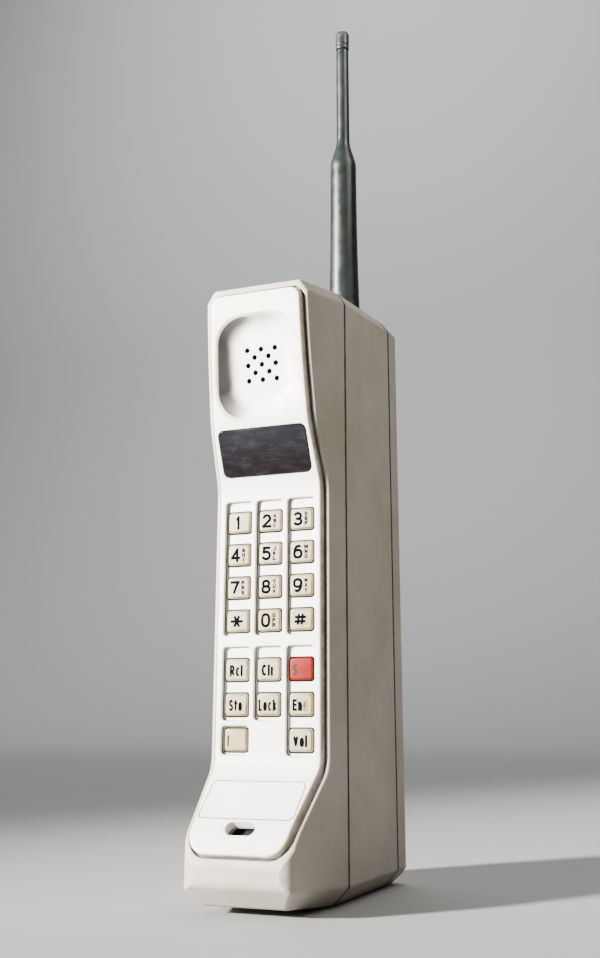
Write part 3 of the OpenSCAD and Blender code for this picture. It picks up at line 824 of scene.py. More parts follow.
def softened(node, name, is_edge, is_seam_edge, body):
    """Copy of a CAD node with its outer edges rounded, then its seam edges. Each test gets the
    names of the two planes that meet."""
    bm = cad_copy(node)
    tag = bm.faces.layers.int.new("plane")
    wear_and_shade = bm.verts.layers.float.new("wear_and_shade")
    names = [""] + sorted({p[0] for p in REAR_PLANES})
    for f in bm.faces:
        f[tag] = names.index(plane_of(f))
    for test, width, pieces, rubbed in ((is_edge, EDGE_R, 3, 1.0),
                                        (is_seam_edge, SEAM_EDGE_R, 2, -0.7)):
        picked = []
        for e in bm.edges:
            meet = {names[f[tag]] for f in e.link_faces}
            if len(meet) == 2 and "" not in meet and e.calc_face_angle_signed(0) and test(meet):
                picked.append(e)
        new = bevel(bm, picked, width, pieces, False)
        for v in {v for f in new for v in f.verts}:
            old = {names[f[tag]] for f in v.link_faces if f not in new}
            v[wear_and_shade] = -0.9 if old == {"seam"} else 0.0 if old else rubbed
    return stands_for(finish_mesh(name, bm, 32), node, body, "shell")


rear_half = softened("rear_casing", "rear_half", lambda meet: meet in OUTER_EDGES,
                     lambda meet: "seam" in meet and meet & OUTSIDE, "phone")
pack_cover = softened("battery_cover", "pack_cover", lambda meet: "seam" not in meet,
                      lambda meet: "seam" in meet, "battery_pack")


# ---------------------------------------------------------------- stroke lettering
def arc(cx, cy, rx, ry, a0, a1, p=2.0, n=14):
    """Points of an ellipse's arc; p above 2 squares it off."""
    out = []
    for a in np.linspace(math.radians(a0), math.radians(a1), n):
        c, s = math.cos(a), math.sin(a)
        out.append((cx + rx * math.copysign(abs(c) ** (2 / p), c),
                    cy + ry * math.copysign(abs(s) ** (2 / p), s)))
    return out


def ring(cx, cy, rx, ry, p=2.4):
    """A closed, slightly squared ellipse."""
    return arc(cx, cy, rx, ry, 90, 450, p, 26)


X = 0.74  # height of the small letters
NINE = [ring(0.5, 0.32, 0.5, 0.32), arc(0.58, 0.45, 0.56, 0.55, 182, 72) + [(0.88, 0.90)]]
GLYPHS = {
    "0": [ring(0.5, 0.5, 0.5, 0.5, 2.5)],
    "1": [[(0.0, 0.80), (0.34, 0.83), (0.72, 1.0)], [(0.72, 1.0), (0.72, 0.0)]],
    "2": [arc(0.5, 0.70, 0.48, 0.30, 178, -28) + [(0.60, 0.36), (0.2, 0.16), (0.02, 0.0)],
          [(0.0, 0.0), (1.0, 0.0)]],
    "3": [arc(0.48, 0.745, 0.44, 0.255, 168, -80) + [(0.36, 0.51)],
          [(0.36, 0.51)] + arc(0.48, 0.255, 0.5, 0.255, 84, -168)],
    "4": [[(0.74, 0.0), (0.74, 1.0)], [(0.74, 1.0), (0.0, 0.25)], [(0.0, 0.25), (1.0, 0.25)]],
    "5": [[(0.90, 1.0), (0.16, 1.0)], [(0.18, 1.0), (0.08, 0.50)],
          arc(0.47, 0.33, 0.52, 0.33, 144, -166)],
    "6": NINE,
    "7": [[(0.0, 1.0), (1.0, 1.0)], [(0.96, 0.98), (0.60, 0.50), (0.36, 0.0)]],
    "8": [ring(0.5, 0.75, 0.42, 0.25, 2.2), ring(0.5, 0.26, 0.5, 0.26, 2.2)],
    "9": [[(1 - x, 1 - y) for x, y in s] for s in NINE],
    "A": [[(0, 0), (0.5, 1), (1, 0)], [(0.18, 0.32), (0.82, 0.32)]],
    "B": [[(0, 0), (0, 1)] + arc(0.5, 0.76, 0.42, 0.24, 90, -90) + [(0, 0.52)],
          [(0, 0.52)] + arc(0.55, 0.26, 0.45, 0.26, 90, -90) + [(0, 0)]],
    "C": [arc(0.52, 0.5, 0.52, 0.5, 42, 318, 2.3)],
    "D": [[(0, 0), (0, 1)] + arc(0.42, 0.5, 0.58, 0.5, 90, -90, 2.3) + [(0, 0)]],
    "E": [[(1, 1), (0, 1), (0, 0), (1, 0)], [(0, 0.52), (0.88, 0.52)]],
    "F": [[(1, 1), (0, 1), (0, 0)], [(0, 0.52), (0.85, 0.52)]],
    "G": [arc(0.52, 0.5, 0.52, 0.5, 42, 330, 2.3) + [(1, 0.45), (0.58, 0.45)]],
    "H": [[(0, 0), (0, 1)], [(1, 0), (1, 1)], [(0, 0.5), (1, 0.5)]],
    "I": [[(0.5, 0), (0.5, 1)]],
    "J": [[(0.9, 1), (0.9, 0.4)] + arc(0.47, 0.3, 0.43, 0.3, 0, -172)],
    "K": [[(0, 0), (0, 1)], [(1, 1), (0, 0.34)], [(0.34, 0.58), (1, 0)]],
    "L": [[(0, 1), (0, 0), (1, 0)]],
    "M": [[(0, 0), (0, 1)], [(0.04, 1), (0.5, 0.2)], [(0.5, 0.2), (0.96, 1)], [(1, 1), (1, 0)]],
    "N": [[(0, 0), (0, 1)], [(0.04, 1), (0.96, 0)], [(1, 0), (1, 1)]],
    "O": [ring(0.5, 0.5, 0.5, 0.5)],
    "P": [[(0, 0), (0, 1)] + arc(0.5, 0.74, 0.5, 0.26, 90, -90) + [(0, 0.48)]],
    "R": [[(0, 0), (0, 1)] + arc(0.5, 0.74, 0.46, 0.26, 90, -90) + [(0, 0.48)],
          [(0.52, 0.48), (1, 0)]],
    "S": [arc(0.5, 0.75, 0.47, 0.25, 18, 262) + arc(0.5, 0.25, 0.5, 0.25, 82, -162)],
    "T": [[(0, 1), (1, 1)], [(0.5, 1), (0.5, 0)]],
    "U": [[(0, 1), (0, 0.4)] + arc(0.5, 0.3, 0.5, 0.3, 180, 360) + [(1, 1)]],
    "V": [[(0, 1), (0.5, 0), (1, 1)]],
    "W": [[(0, 1), (0.25, 0), (0.5, 0.85), (0.75, 0), (1, 1)]],
    "X": [[(0, 1), (1, 0)], [(0, 0), (1, 1)]],
    "Y": [[(0, 1), (0.5, 0.46), (1, 1)], [(0.5, 0.46), (0.5, 0)]],
    "c": [arc(0.52, X / 2, 0.52, X / 2, 44, 316, 2.3)],
    "d": [ring(0.47, X / 2, 0.47, X / 2), [(1, 0), (1, 1)]],
    "k": [[(0, 0), (0, 1)], [(0.95, X), (0, 0.24)], [(0.36, 0.42), (1, 0)]],
    "l": [[(0.5, 0), (0.5, 1)]],
    "n": [[(0, 0), (0, X)], [(0, 0.4)] + arc(0.5, 0.42, 0.5, X - 0.42, 170, 0) + [(1, 0)]],
    "o": [ring(0.5, X / 2, 0.5, X / 2)],
    "r": [[(0, 0), (0, X)], [(0, 0.38)] + arc(0.75, 0.38, 0.75, X - 0.38, 165, 78)],
    "t": [[(0.4, 0.96), (0.4, 0.16)] + arc(0.82, 0.16, 0.42, 0.16, 190, 268), [(0, X), (1, X)]],
    "*": [[(0.0, 0.5), (1.0, 0.5)], [(0.25, 0.0), (0.75, 1.0)], [(0.75, 0.0), (0.25, 1.0)]],
    "#": [[(0.24, 0), (0.36, 1)], [(0.66, 0), (0.78, 1)], [(0, 0.3), (0.95, 0.3)],
          [(0.05, 0.70), (1, 0.70)]],
}
WIDTHS = {"l": 0.28, "r": 0.60, "t": 0.72, "c": 0.82, "o": 0.86, "n": 0.84, "d": 0.88,
          "k": 0.84, "L": 0.84, "E": 0.88}


WORD_W = {"Lock": 6.6, "Sto": 4.9, "Vol": 4.8, "End": 5.4, "Snd": 5.4, "Rcl": 4.7, "Clr": 4.5}
SIGNS = {"*": (4.4, 4.6, 0.90, (-0.40, 0.0)), "#": (4.3, 4.2, 0.86, (-0.35, 0.0))}
SMALL_W = {"M": 1.42, "W": 1.55, "I": 0.44}


def closer(p, step=0.35):
    """The same path with points no further apart than step."""
    out = []
    for a, b in zip(p[:-1], p[1:]):
        n = max(1, int(math.ceil(np.linalg.norm(b - a) / step)))
        out += [a + (b - a) * i / n for i in range(n)]
    return np.array(out + [p[-1]])


def stroke(points, pen, closed):
    """Ribbon of width pen along points: left edge, middle and right edge, mitred."""
    p = np.array(points, float)
    p = p[np.r_[True, np.linalg.norm(np.diff(p, axis=0), axis=1) > 1e-4]]
    if closed:
        p = p[:-1]
    else:
        for i, j in ((0, 1), (-1, -2)):  # upright and level ends reach half a pen further
            tip = p[i] - p[j]
            if min(abs(tip)) < 0.08 * max(abs(tip)):
                p[i] = p[i] + tip / np.linalg.norm(tip) * pen / 2
        p = closer(p)
    u = np.roll(p, -1, 0) - p
    u /= np.maximum(np.linalg.norm(u, axis=1), 1e-9)[:, None]
    before = np.roll(u, 1, 0)
    if not closed:
        u[-1] = u[-2]
        before[0] = u[0]
    n0 = np.column_stack([-before[:, 1], before[:, 0]])
    n1 = np.column_stack([-u[:, 1], u[:, 0]])
    m = (n0 + n1) / np.maximum(1 + (n0 * n1).sum(1), 0.45)[:, None]
    return p + m * pen / 2, p, p - m * pen / 2


def glyph(ch, x, y, w, h, pen):
    """Ribbons of one character in the box whose lower left corner is (x, y)."""
    out = []
    for s in GLYPHS[ch]:
        closed = math.dist(s[0], s[-1]) < 1e-6
        pts = [(x + pen / 2 + gx * (w - pen), y + pen / 2 + gy * (h - pen)) for gx, gy in s]
        out.append((*stroke(pts, pen, closed), closed))
    return out


def word(text, h, w, pen, at):
    """Ribbons of a word fitted to w by h about at; without a pen its width follows w."""
    units = [WIDTHS.get(c, 1.0) for c in text]
    gap = 0.22
    k = w / (sum(units) + gap * (len(text) - 1))
    pen = pen or 0.42 * k
    x, out = at[0] - w / 2, []
    for c, u in zip(text, units):
        out += glyph(c, x, at[1] - h / 2, u * k, h, pen)
        x += (u + gap) * k
    return out


def legend_parts(label, small):
    """Ribbons of one key's legend."""
    if label == "Pwr":  # all but the first stroke is worn away
        return word("l", 3.3, 0.6, 0.55, (-2.75, -0.2))
    if label in WORD_W:
        return word(label, 3.6, WORD_W[label], None, (-0.30, -0.2))
    if label in SIGNS:
        return word(label, *SIGNS[label])
    out = word(label, 4.7, *((2.15, 0.95, (-0.70, 0.05)) if label == "1" else
                             (3.55, 0.95, (-1.32, 0.05))))
    for k, ch in enumerate(small):
        out += word(ch, 1.42, SMALL_W.get(ch, 1.2), 0.42, (1.72, 1.62 - 1.6 * k))
    return out


# ---------------------------------------------------------------- keys
def crown(x, z):
    """How far the key's top falls below its highest point, at x, z from its middle."""
    return 0.10 * (x / (KEY_W / 2)) ** 2 + 0.05 * (z / (KEY_H / 2)) ** 2


def fade(label, x):
    """How far the print has worn away at x: 0 whole, 1 gone."""
    if label == "Snd":
        return 0.36 + 0.30 * min(1, max(0, (x + 1.6) / 1.2))
    if label == "End":
        return 0.62 * min(1, max(0, (x - 0.2) / 1.6))
    return 0.0


def facing(q, y, at):
    """Points at depth y of the flat positions q, measured from the key's middle."""
    return np.column_stack([q[:, 0] + at[0], np.broadcast_to(y, len(q)), q[:, 1] + at[1]])


def make_ink(tag, label, small, at):
    """Printed legend, a hair proud of the plastic, its sides reaching down into it."""
    b = Build()

    def row(q, lift):
        return b.add(facing(q, KEY_TOP + crown(*q.T) - lift, at), [fade(label, x) for x in q[:, 0]])
    for i, (left, middle, right, closed) in enumerate(legend_parts(label, small)):
        lift = 0.03 + 0.003 * (i % 4)  # crossing strokes stay apart
        around = [row(left, lift), row(middle, lift), row(right, lift), row(right, -0.02),
                  row(left, -0.02)]
        n = len(left)
        for k in range(n if closed else n - 1):
            j = (k + 1) % n
            for p, q in zip(around, around[1:] + around[:1]):
                b.face((p[k], q[k], q[j], p[j]))
        if not closed:
            b.face([p[0] for p in around[::-1]])
            b.face([p[-1] for p in around])
    return b.make("legend_" + tag, 30, merge=False)


def make_button(tag, at):
    """Key cap with a crowned top, soft edges, and the flange and post behind it."""
    b = Build()
    edge, corner, cuts = 0.66, 0.95, (4, 4)
    ids, loops = [], []
    # the outer rows go dark: painted shadow in the gap round the key, with dirt
    for (si, co), w in zip(quarter(5), (0.8, 1.0, 0.8, 0.1, -0.5, -0.8)):
        o = edge * (1 - si)
        q = round_rect(KEY_W - 2 * o, KEY_H - 2 * o, max(corner - 0.35 * o, 0.3), 5, cuts)
        # the edge's yellowing and dark outline grow to the right and the bottom: yellowed wear, and
        # painted shade on the sides turned from the light
        rubbed = np.clip(0.55 + 0.8 * q[:, 0] / KEY_W + 0.3 * (q[:, 1] < -3), 0.2, 1)
        y = KEY_TOP + crown(*q.T) + edge * 0.8 * (1 - co)
        ids.append(b.add(facing(q, y, at), rubbed * w))
        loops.append(q)
    # the cap's sides, flange and post are darkened: painted shadow in the gap, with dirt
    for w, h, r, y, dirt_and_shade in (
            (KEY_W, KEY_H, corner, -21.98, -0.55), (KEY_W, KEY_H, corner, -21.5, -0.8),
            (KEY_W, KEY_H, corner, -20.45, -0.9), (9.7, 8.6, 0.7, -20.4, -0.7),
            (9.7, 8.6, 0.7, -19.6, -0.7), (3.0, 3.0, 1.45, -19.6, -0.7),
            (3.2, 3.2, 1.58, -17.4, -0.7), (2.9, 2.9, 1.4, -17.3, -0.7)):
        ids.append(b.add(facing(round_rect(w, h, r, 5, cuts), y, at), dirt_and_shade))
    b.strips(ids[::-1])
    b.face(ids[-1][::-1])
    top = np.array([(x, z) for x in np.linspace(-3.2, 3.2, 7) for z in np.linspace(-2.5, 2.5, 5)])
    new = b.add(facing(top, KEY_TOP + crown(*top.T), at))
    b.fill((ids[0], loops[0] + at), (), (new, top + at))
    return b.make("button_" + tag, 50)


def make_key(tag, column, row, label, small):
    """A key cap and its legend, riding together."""
    body, slot = f"key_{tag}_body", "key_red" if tag == "send" else "key"
    at = KEY_AT[column, row]
    button = stands_for(make_button(tag, at), "key_" + tag, body, slot)
    ink = make_ink(tag, label, small, at)
    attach(ink, body)
    return button, ink


keys = {k[0]: make_key(*k) for k in KEYS}


# ---------------------------------------------------------------- window, plate, aerial, latch
def slab_piece(name, place, loops):
    """Closed rounded slab: loops are (w, h, r, inward, wear) from front to back."""
    b = Build()
    ids, flats = [], []
    for w, h, r, inward, wear_and_shade in loops:
        q = round_rect(w, h, r, 8, (6, 10))
        ids.append(b.add(place(q, inward), wear_and_shade))
        flats.append(q)
    b.strips(ids[::-1])
    b.fill((ids[0], flats[0]))
    b.fill((ids[-1], flats[-1]), flip=True)
    return b.make(name, 50)


def turned(name, line, wear_and_shade, around=64):
    """Closed turned piece on the aerial's axis; line rows are (radius, height)."""
    b = Build()
    ids = []
    a = np.linspace(0, 2 * math.pi, around + 1)[:-1]
    for (r, z), w in zip(line, wear_and_shade):
        at = a if r > 1e-6 else a[:1]
        ids.append(b.add(np.column_stack([AERIAL_X + r * np.cos(at), AERIAL_Y + r * np.sin(at),
                                          np.full(len(at), z)]), w))
    for p, q in zip(ids, ids[1:] + ids[:1]):
        if len(p) == len(q) == around:
            b.strip(p, q)
        elif len(p) != len(q):
            edge, middle = (q, p[0]) if len(p) == 1 else (p, q[0])
            for i in range(around):
                b.face((edge[i], edge[(i + 1) % around], middle))
    return b.make(name, 40)


def smooth_line(pts, soft, n=5):
    """Line with its inner corners drawn round; soft is the length taken off each leg."""
    pts = np.array(pts, float)
    out = [pts[0]]
    for a, c, b, most in zip(pts, pts[1:], pts[2:], np.broadcast_to(soft, len(pts))[1:]):
        la, lb = np.linalg.norm(a - c), np.linalg.norm(b - c)
        w = min(most, 0.45 * la, 0.45 * lb)
        out += bezier(c + (a - c) / la * w, c, c + (b - c) / lb * w, n)
    return [tuple(p) for p in (*out, pts[-1])]


def aerial_sheath():
    """Stepped rubber sleeve, open at its foot and bored for the whip."""
    bore = [(1.45, 320.7), (1.45, 213.1), (3.45, 213.1), (3.45, 204.2)]
    line = smooth_line(
        [(5.7, 204.2), (6.1, 204.45), (6.15, 205.5), (5.9, 209), (5.6, 220), (5.25, 245),
         (5.2, 267.5), (5.0, 269.3), (3.0, 276.2), (2.65, 278.5), (2.6, 300), (2.55, 320.4),
         (2.3, 320.7)], [0, .2, .8, 3, 8, 8, 1.2, 1.2, 1.6, 1.2, 4, .2, 0]) + bore
    return turned("aerial_sheath", line,
                  [0.3 if z < 206 or 266 < z < 279 else 0.0 for _, z in line])


def aerial_tip():
    """Grooved cap on the end of the aerial."""
    socket = [(0, 325.6), (1.45, 325.6)]
    line = smooth_line([(1.5, 320.85), (2.55, 320.85), (2.8, 321.2), (2.8, 322.4), (2.62, 322.6),
                        (2.62, 323.0), (2.8, 323.2), (2.8, 327.9), (2.55, 328.8), (1.8, 329.3),
                        (0, 329.3)], 0.25, 4) + socket
    return turned("aerial_tip", line, [0.6 if z > 327.5 else 0.1 for _, z in line])


def latch_coil():
    """Compression spring under the latch, its ends closed."""
    b = Build()
    turns, steps, around = 6.5, 156, 10
    wire, radius, middle_y = 0.35, 2.3, 28.4
    low, high = 189.85, 199.5
    ends = 0.06  # part of the height taken up by each closed end
    rings = []
    for i in range(steps + 1):
        t = i / steps
        a = 2 * math.pi * turns * t
        z = low + (high - low) * np.interp(t, (0, 0.1, 0.9, 1), (0, ends, 1 - ends, 1))
        c = np.array([radius * math.cos(a), middle_y + radius * math.sin(a), z])
        out = np.array([math.cos(a), math.sin(a), 0])
        rings.append(b.add([c + wire * (out * math.cos(q) + np.array([0, 0, math.sin(q)]))
                            for q in np.linspace(0, 2 * math.pi, around + 1)[:-1]]))
    b.strips(rings)
    b.face(rings[0])
    b.face(rings[-1][::-1])
    return b.make("latch_coil", 60)


AERIAL_X, AERIAL_Y = 10.2, 19.7
# the window's edge loops carry negative values: painted shadow in the gap round it
window = slab_piece("window_lens", LENS, [
    (32.3, 15.7, 1.8, -0.05, 0), (32.76, 16.16, 2.03, -0.03, -0.4), (33.0, 16.4, 2.15, 0.06, -0.9),
    (33.1, 16.5, 2.2, 0.25, -0.9), (33.1, 16.5, 2.2, 1.3, -0.5), (32.9, 16.3, 2.1, 1.45, -0.5)])
plate = slab_piece("blank_plate", PLATE, [
    (32.1, 14.1, 1.8, -2.0, 0), (32.42, 14.42, 1.93, -1.99, -0.55),
    (32.58, 14.58, 1.99, -1.9, -0.9), (32.6, 14.6, 2.0, -1.62, -0.9)])
sheath = aerial_sheath()
tip = aerial_tip()
latch = broken_edges("battery_latch", "latch_button", 0.16, "latch", "dark")
tray = broken_edges("battery_case", "pack_tray", 0.45, "battery_pack", "dark")
block = broken_edges("contact_block", "contact_holder", 0.2, "phone", "dark")
spring = latch_coil()
for piece, node, body, slot in ((window, "display_window", "phone", "lens"),
                                (plate, "name_plate", "phone", "plate"),
                                (sheath, "antenna_sheath", "antenna", "rubber"),
                                (tip, "antenna_tip_cap", "antenna", "cap"),
                                (spring, "latch_spring", "phone", "steel")):
    stands_for(piece, node, body, slot)
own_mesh(spring)


# ---------------------------------------------------------------- materials
class Shader:
    """One material's nodes; lengths in the textures are metres."""

    def __init__(self, name):
        self.material = bpy.data.materials.new(name)
        self.material.use_nodes = True
        self.tree = self.material.node_tree
        self.bsdf = self.tree.nodes["Principled BSDF"]
        self.coords = self.tree.nodes.new("ShaderNodeTexCoord").outputs
        self.pos = self.coords["Object"]

    def add(self, kind, **props):
        n = self.tree.nodes.new(kind)
        for k, v in props.items():
            setattr(n, k, v)
        return n

    def put(self, socket, value):
        """Link a node's output, or set the value itself."""
        if hasattr(value, "is_linked"):
            self.tree.links.new(value, socket)
        elif socket.type == "RGBA":
            socket.default_value = (*value, 1)
        else:
            socket.default_value = value

    def node(self, kind, out, inputs, **props):
        """Add a node, fill its inputs and give one of its outputs."""
        n = self.add(kind, **props)
        for k, v in inputs.items():
            self.put(n.inputs[k], v)
        return n.outputs[out]

    def noise(self, scale, detail=3.0, rough=0.55, stretch=None, warp=0.0):
        vec = self.pos
        if stretch:
            vec = self.node("ShaderNodeMapping", "Vector", {"Scale": stretch, "Vector": vec})
        return self.node("ShaderNodeTexNoise", "Fac", {
            "Vector": vec, "Scale": scale, "Detail": detail, "Roughness": rough,
            "Distortion": warp})

    def span(self, value, a, b, c=0.0, d=1.0):
        """value carried smoothly from a..b to c..d."""
        return self.node("ShaderNodeMapRange", "Result", {
            "Value": value, "From Min": a, "From Max": b, "To Min": c, "To Max": d},
            interpolation_type="SMOOTHSTEP")

    def calc(self, op, a, b=0.0):
        return self.node("ShaderNodeMath", 0, {0: a, 1: b}, operation=op)

    def mix(self, fac, a, b):
        return self.node("ShaderNodeMix", 2, {0: fac, 6: a, 7: b}, data_type="RGBA")

    def axis(self, k, of="Object"):
        return self.node("ShaderNodeSeparateXYZ", k, {0: self.coords[of]})

    def wear_and_shade(self):
        return self.node("ShaderNodeAttribute", "Fac", {}, attribute_name="wear_and_shade")

    def bump(self, *heights):
        """Bumps one after another: height, strength, distance in metres."""
        last = None
        for height, strength, distance in heights:
            inputs = {"Height": height, "Strength": strength, "Distance": distance}
            if last:
                inputs["Normal"] = last
            last = self.node("ShaderNodeBump", "Normal", inputs)
        self.put(self.bsdf.inputs["Normal"], last)

    def shade(self, colour, rough, metallic=0.0, coat=0.0, spec=0.5):
        for k, v in (("Base Color", colour), ("Roughness", rough), ("Metallic", metallic),
                     ("Coat Weight", coat), ("Coat Roughness", 0.1),
                     ("Specular IOR Level", spec)):
            self.put(self.bsdf.inputs[k], v)
        return self.material


def darker(colour, k):
    """The colour times k."""
    return tuple(c * k for c in colour)


def moulded(name, base, aged, edge, grime_and_shade, edge_amount, rough, grain, spec=0.5, seams=()):
    """Old moulded plastic: blotchy ageing, fine grain, yellowed edges, and dirt with painted shade
    in the gaps and recesses.
    """
    s = Shader(name)
    col = s.mix(s.span(s.noise(38, 4, 0.6), 0.36, 0.66), base, aged)
    speck = s.span(s.noise(1500, 2, 0.5), 0.62, 0.72, 0.0, 0.22)
    col = s.mix(speck, col, darker(aged, 0.62))
    w = s.wear_and_shade()
    rub = s.span(s.noise(170, 4, 0.65), 0.36, 0.62, 0.35, 1.0)
    amount = s.calc("MULTIPLY", s.span(w, 0.08, 0.75, 0.0, edge_amount), rub)
    col = s.mix(amount, col, edge)
    # negative values mix in the dark colour: dirt, and painted shade in gaps, recesses and on walls
    # turned from the light
    col = s.mix(s.span(s.calc("MULTIPLY", w, -1.0), 0.12, 0.62), col, grime_and_shade)
    for y in seams:  # dirt along a parting line, but not on the face looking into it
        near = s.calc("ABSOLUTE", s.calc("SUBTRACT", s.axis(1), y))
        near = s.calc("ADD", near, s.span(s.noise(500, 3, 0.6), 0.3, 0.7, -0.00015, 0.00015))
        across = s.span(s.calc("ABSOLUTE", s.axis(1, "Normal")), 0.6, 0.95, 0.92, 0.0)
        band = s.calc("MULTIPLY", s.span(near, 0.0004, 0.00105, 1.0, 0.0), across)
        col = s.mix(band, col, (0.045, 0.032, 0.022))
    scuff = s.noise(60, 5, 0.7, stretch=(1, 1, 9))
    r = s.span(s.noise(240, 3, 0.6), 0.3, 0.7, *rough)
    r = s.calc("ADD", r, s.span(scuff, 0.55, 0.75, 0.0, 0.08))
    s.bump((s.noise(30, 2, 0.5), 0.25, 0.0004), (s.noise(2600, 2, 0.6), 0.28 * grain, 0.00006))
    return s.shade(col, r, spec=spec)


def printed_ink(name, ink, plastic, rough=(0.60, 0.75), spec=0.0):
    """Ink that gives way to the key's plastic where it has worn."""
    s = Shader(name)
    gone = s.calc("ADD", s.wear_and_shade(), s.span(s.noise(900, 3, 0.6), 0.35, 0.7, -0.10, 0.14))
    col = s.mix(s.span(gone, 0.16, 0.75), ink, plastic)
    s.bump((s.noise(2600, 2, 0.6), 0.2, 0.00004))
    return s.shade(col, s.span(s.noise(700, 2, 0.5), 0.3, 0.7, *rough), spec=spec)


def smoked_lens(name):
    """Dark window with handling haze, fine scratches, and a painted reflection: lighter grey above,
    dark red below.
    """
    s = Shader(name)
    haze = s.span(s.noise(240, 5, 0.7, stretch=(0.6, 1.0, 1.5), warp=0.25), 0.38, 0.72)
    # painted reflection: the window goes from dark red below to lighter grey above
    painted_reflection = s.span(s.axis(2), 0.134, 0.152)
    col = s.mix(painted_reflection, (0.0035, 0.0015, 0.002), (0.009, 0.009, 0.011))
    col = s.mix(s.calc("MULTIPLY", haze, 0.25), col, (0.034, 0.032, 0.037))
    scratch = s.span(s.noise(420, 2, 0.5, stretch=(0.25, 1, 3)), 0.66, 0.74)
    col = s.mix(s.calc("MULTIPLY", scratch, 0.10), col, (0.06, 0.058, 0.06))
    # negative values darken the edges: painted shadow in the gap round the window
    col = s.mix(s.span(s.calc("MULTIPLY", s.wear_and_shade(), -1.0), 0.1, 0.5), col, (0.004, 0.004, 0.004))
    s.bump((s.noise(24, 2, 0.5), 0.12, 0.0004), (s.noise(900, 3, 0.6), 0.10, 0.00003))
    return s.shade(col, s.span(haze, 0.0, 1.0, 0.14, 0.30), coat=0.08, spec=0.25)


def rubber(name, base, dusty):
    """Soft dark moulding with dust lying along it."""
    s = Shader(name)
    dust = s.span(s.noise(70, 5, 0.65, stretch=(1, 1, 0.35)), 0.40, 0.72)
    col = s.mix(s.calc("MULTIPLY", dust, 0.7), base, dusty)
    rubbed = s.calc("MULTIPLY", s.span(s.wear_and_shade(), 0.1, 0.8, 0.0, 0.5),
                    s.span(s.noise(400, 3, 0.6), 0.4, 0.6))
    col = s.mix(rubbed, col, tuple(min(1, c * 2.4) for c in dusty))
    s.bump((s.noise(55, 2, 0.5), 0.22, 0.0005), (s.noise(1900, 3, 0.6), 0.35, 0.00006))
    return s.shade(col, s.span(s.noise(260, 3, 0.6), 0.3, 0.7, 0.28, 0.42))


def metal(name, base, shaded_side, stretch=(1, 1, 12), rough=(0.22, 0.42)):
    """Brushed metal, tarnished in patches."""
    s = Shader(name)
    brush = s.noise(900, 3, 0.6, stretch=stretch)
    col = s.mix(s.span(s.noise(130, 4, 0.65), 0.42, 0.7), base, shaded_side)
    col = s.mix(s.span(brush, 0.4, 0.7, 0.0, 0.2), col, darker(shaded_side, 0.7))
    s.bump((brush, 0.2, 0.00004))
    return s.shade(col, s.span(brush, 0.3, 0.7, *rough), metallic=1.0)


def circuit(name):
    """Green board with tracks in a brick pattern."""
    s = Shader(name)
    turned_pos = s.node("ShaderNodeMapping", "Vector", {"Rotation": (math.pi / 2, 0, 0),
                                                        "Vector": s.pos})
    lines = s.node("ShaderNodeTexBrick", "Fac", {"Vector": turned_pos, "Scale": 260,
                                                 "Mortar Size": 0.06})
    base = s.mix(s.span(s.noise(80, 3, 0.6), 0.35, 0.65), (0.025, 0.10, 0.045), (0.04, 0.14, 0.06))
    col = s.mix(s.calc("MULTIPLY", lines, 0.7), base, (0.30, 0.25, 0.10))
    s.bump((lines, 0.4, 0.00006), (s.noise(1500, 2, 0.5), 0.1, 0.00003))
    return s.shade(col, s.span(s.noise(500, 2, 0.5), 0.3, 0.7, 0.28, 0.45))


# near-black brown for dirt and for painted shade in gaps and recesses
GRIME_AND_SHADE = (0.012, 0.009, 0.006)
WHITE = moulded("bezel_plastic", (0.84, 0.83, 0.80), (0.78, 0.76, 0.70), (0.40, 0.26, 0.10),
                GRIME_AND_SHADE, 0.85, (0.40, 0.52), 0.6)
SHELL = moulded("casing_plastic", (0.40, 0.358, 0.30), (0.35, 0.305, 0.245), (0.50, 0.47, 0.42),
                GRIME_AND_SHADE, 0.35, (0.46, 0.60), 1.3, seams=(SEAM_1 * MM, (SEAM_2 + 0.2) * MM))
BLANK = moulded("plate_plastic", (0.84, 0.84, 0.82), (0.79, 0.785, 0.75), (0.42, 0.38, 0.31),
                (0.06, 0.05, 0.04), 0.5, (0.34, 0.50), 0.5)
KEY = moulded("key_plastic", (0.31, 0.274, 0.160), (0.27, 0.215, 0.098), (0.105, 0.052, 0.014),
              GRIME_AND_SHADE, 0.95, (0.38, 0.52), 0.6)
RED = moulded("red_key_plastic", (0.165, 0.0045, 0.0005), (0.14, 0.0035, 0.0004),
              (0.09, 0.002, 0.001), GRIME_AND_SHADE, 0.4, (0.38, 0.52), 0.6, spec=0.12)
INK = printed_ink("legend_ink", (0.003, 0.0033, 0.0045), (0.28, 0.24, 0.13))
INK_ON_RED = printed_ink("legend_ink_on_red", (0.010, 0.0025, 0.0025), (0.15, 0.004, 0.0005),
                         (0.38, 0.52), 0.12)
GLASS = smoked_lens("smoked_lens")
AERIAL = rubber("aerial_rubber", (0.008, 0.011, 0.010), (0.020, 0.025, 0.023))
CAP = rubber("cap_plastic", (0.016, 0.017, 0.018), (0.035, 0.036, 0.037))
MAT = rubber("mat_rubber", (0.012, 0.012, 0.013), (0.03, 0.03, 0.03))
DARK = moulded("dark_plastic", (0.035, 0.036, 0.038), (0.050, 0.050, 0.052), (0.12, 0.12, 0.12),
               (0.008, 0.008, 0.008), 0.5, (0.40, 0.55), 1.2)
STEEL = metal("spring_steel", (0.56, 0.57, 0.58), (0.40, 0.40, 0.40))
BRASS = metal("gilt_brass", (0.78, 0.56, 0.24), (0.48, 0.33, 0.14))
CELL = metal("cell_can", (0.60, 0.61, 0.63), (0.45, 0.46, 0.47), (1, 1, 0.2), (0.28, 0.46))
BOARD = circuit("circuit_board")
RIBBON = rubber("ribbon_film", (0.45, 0.36, 0.18), (0.50, 0.42, 0.24))

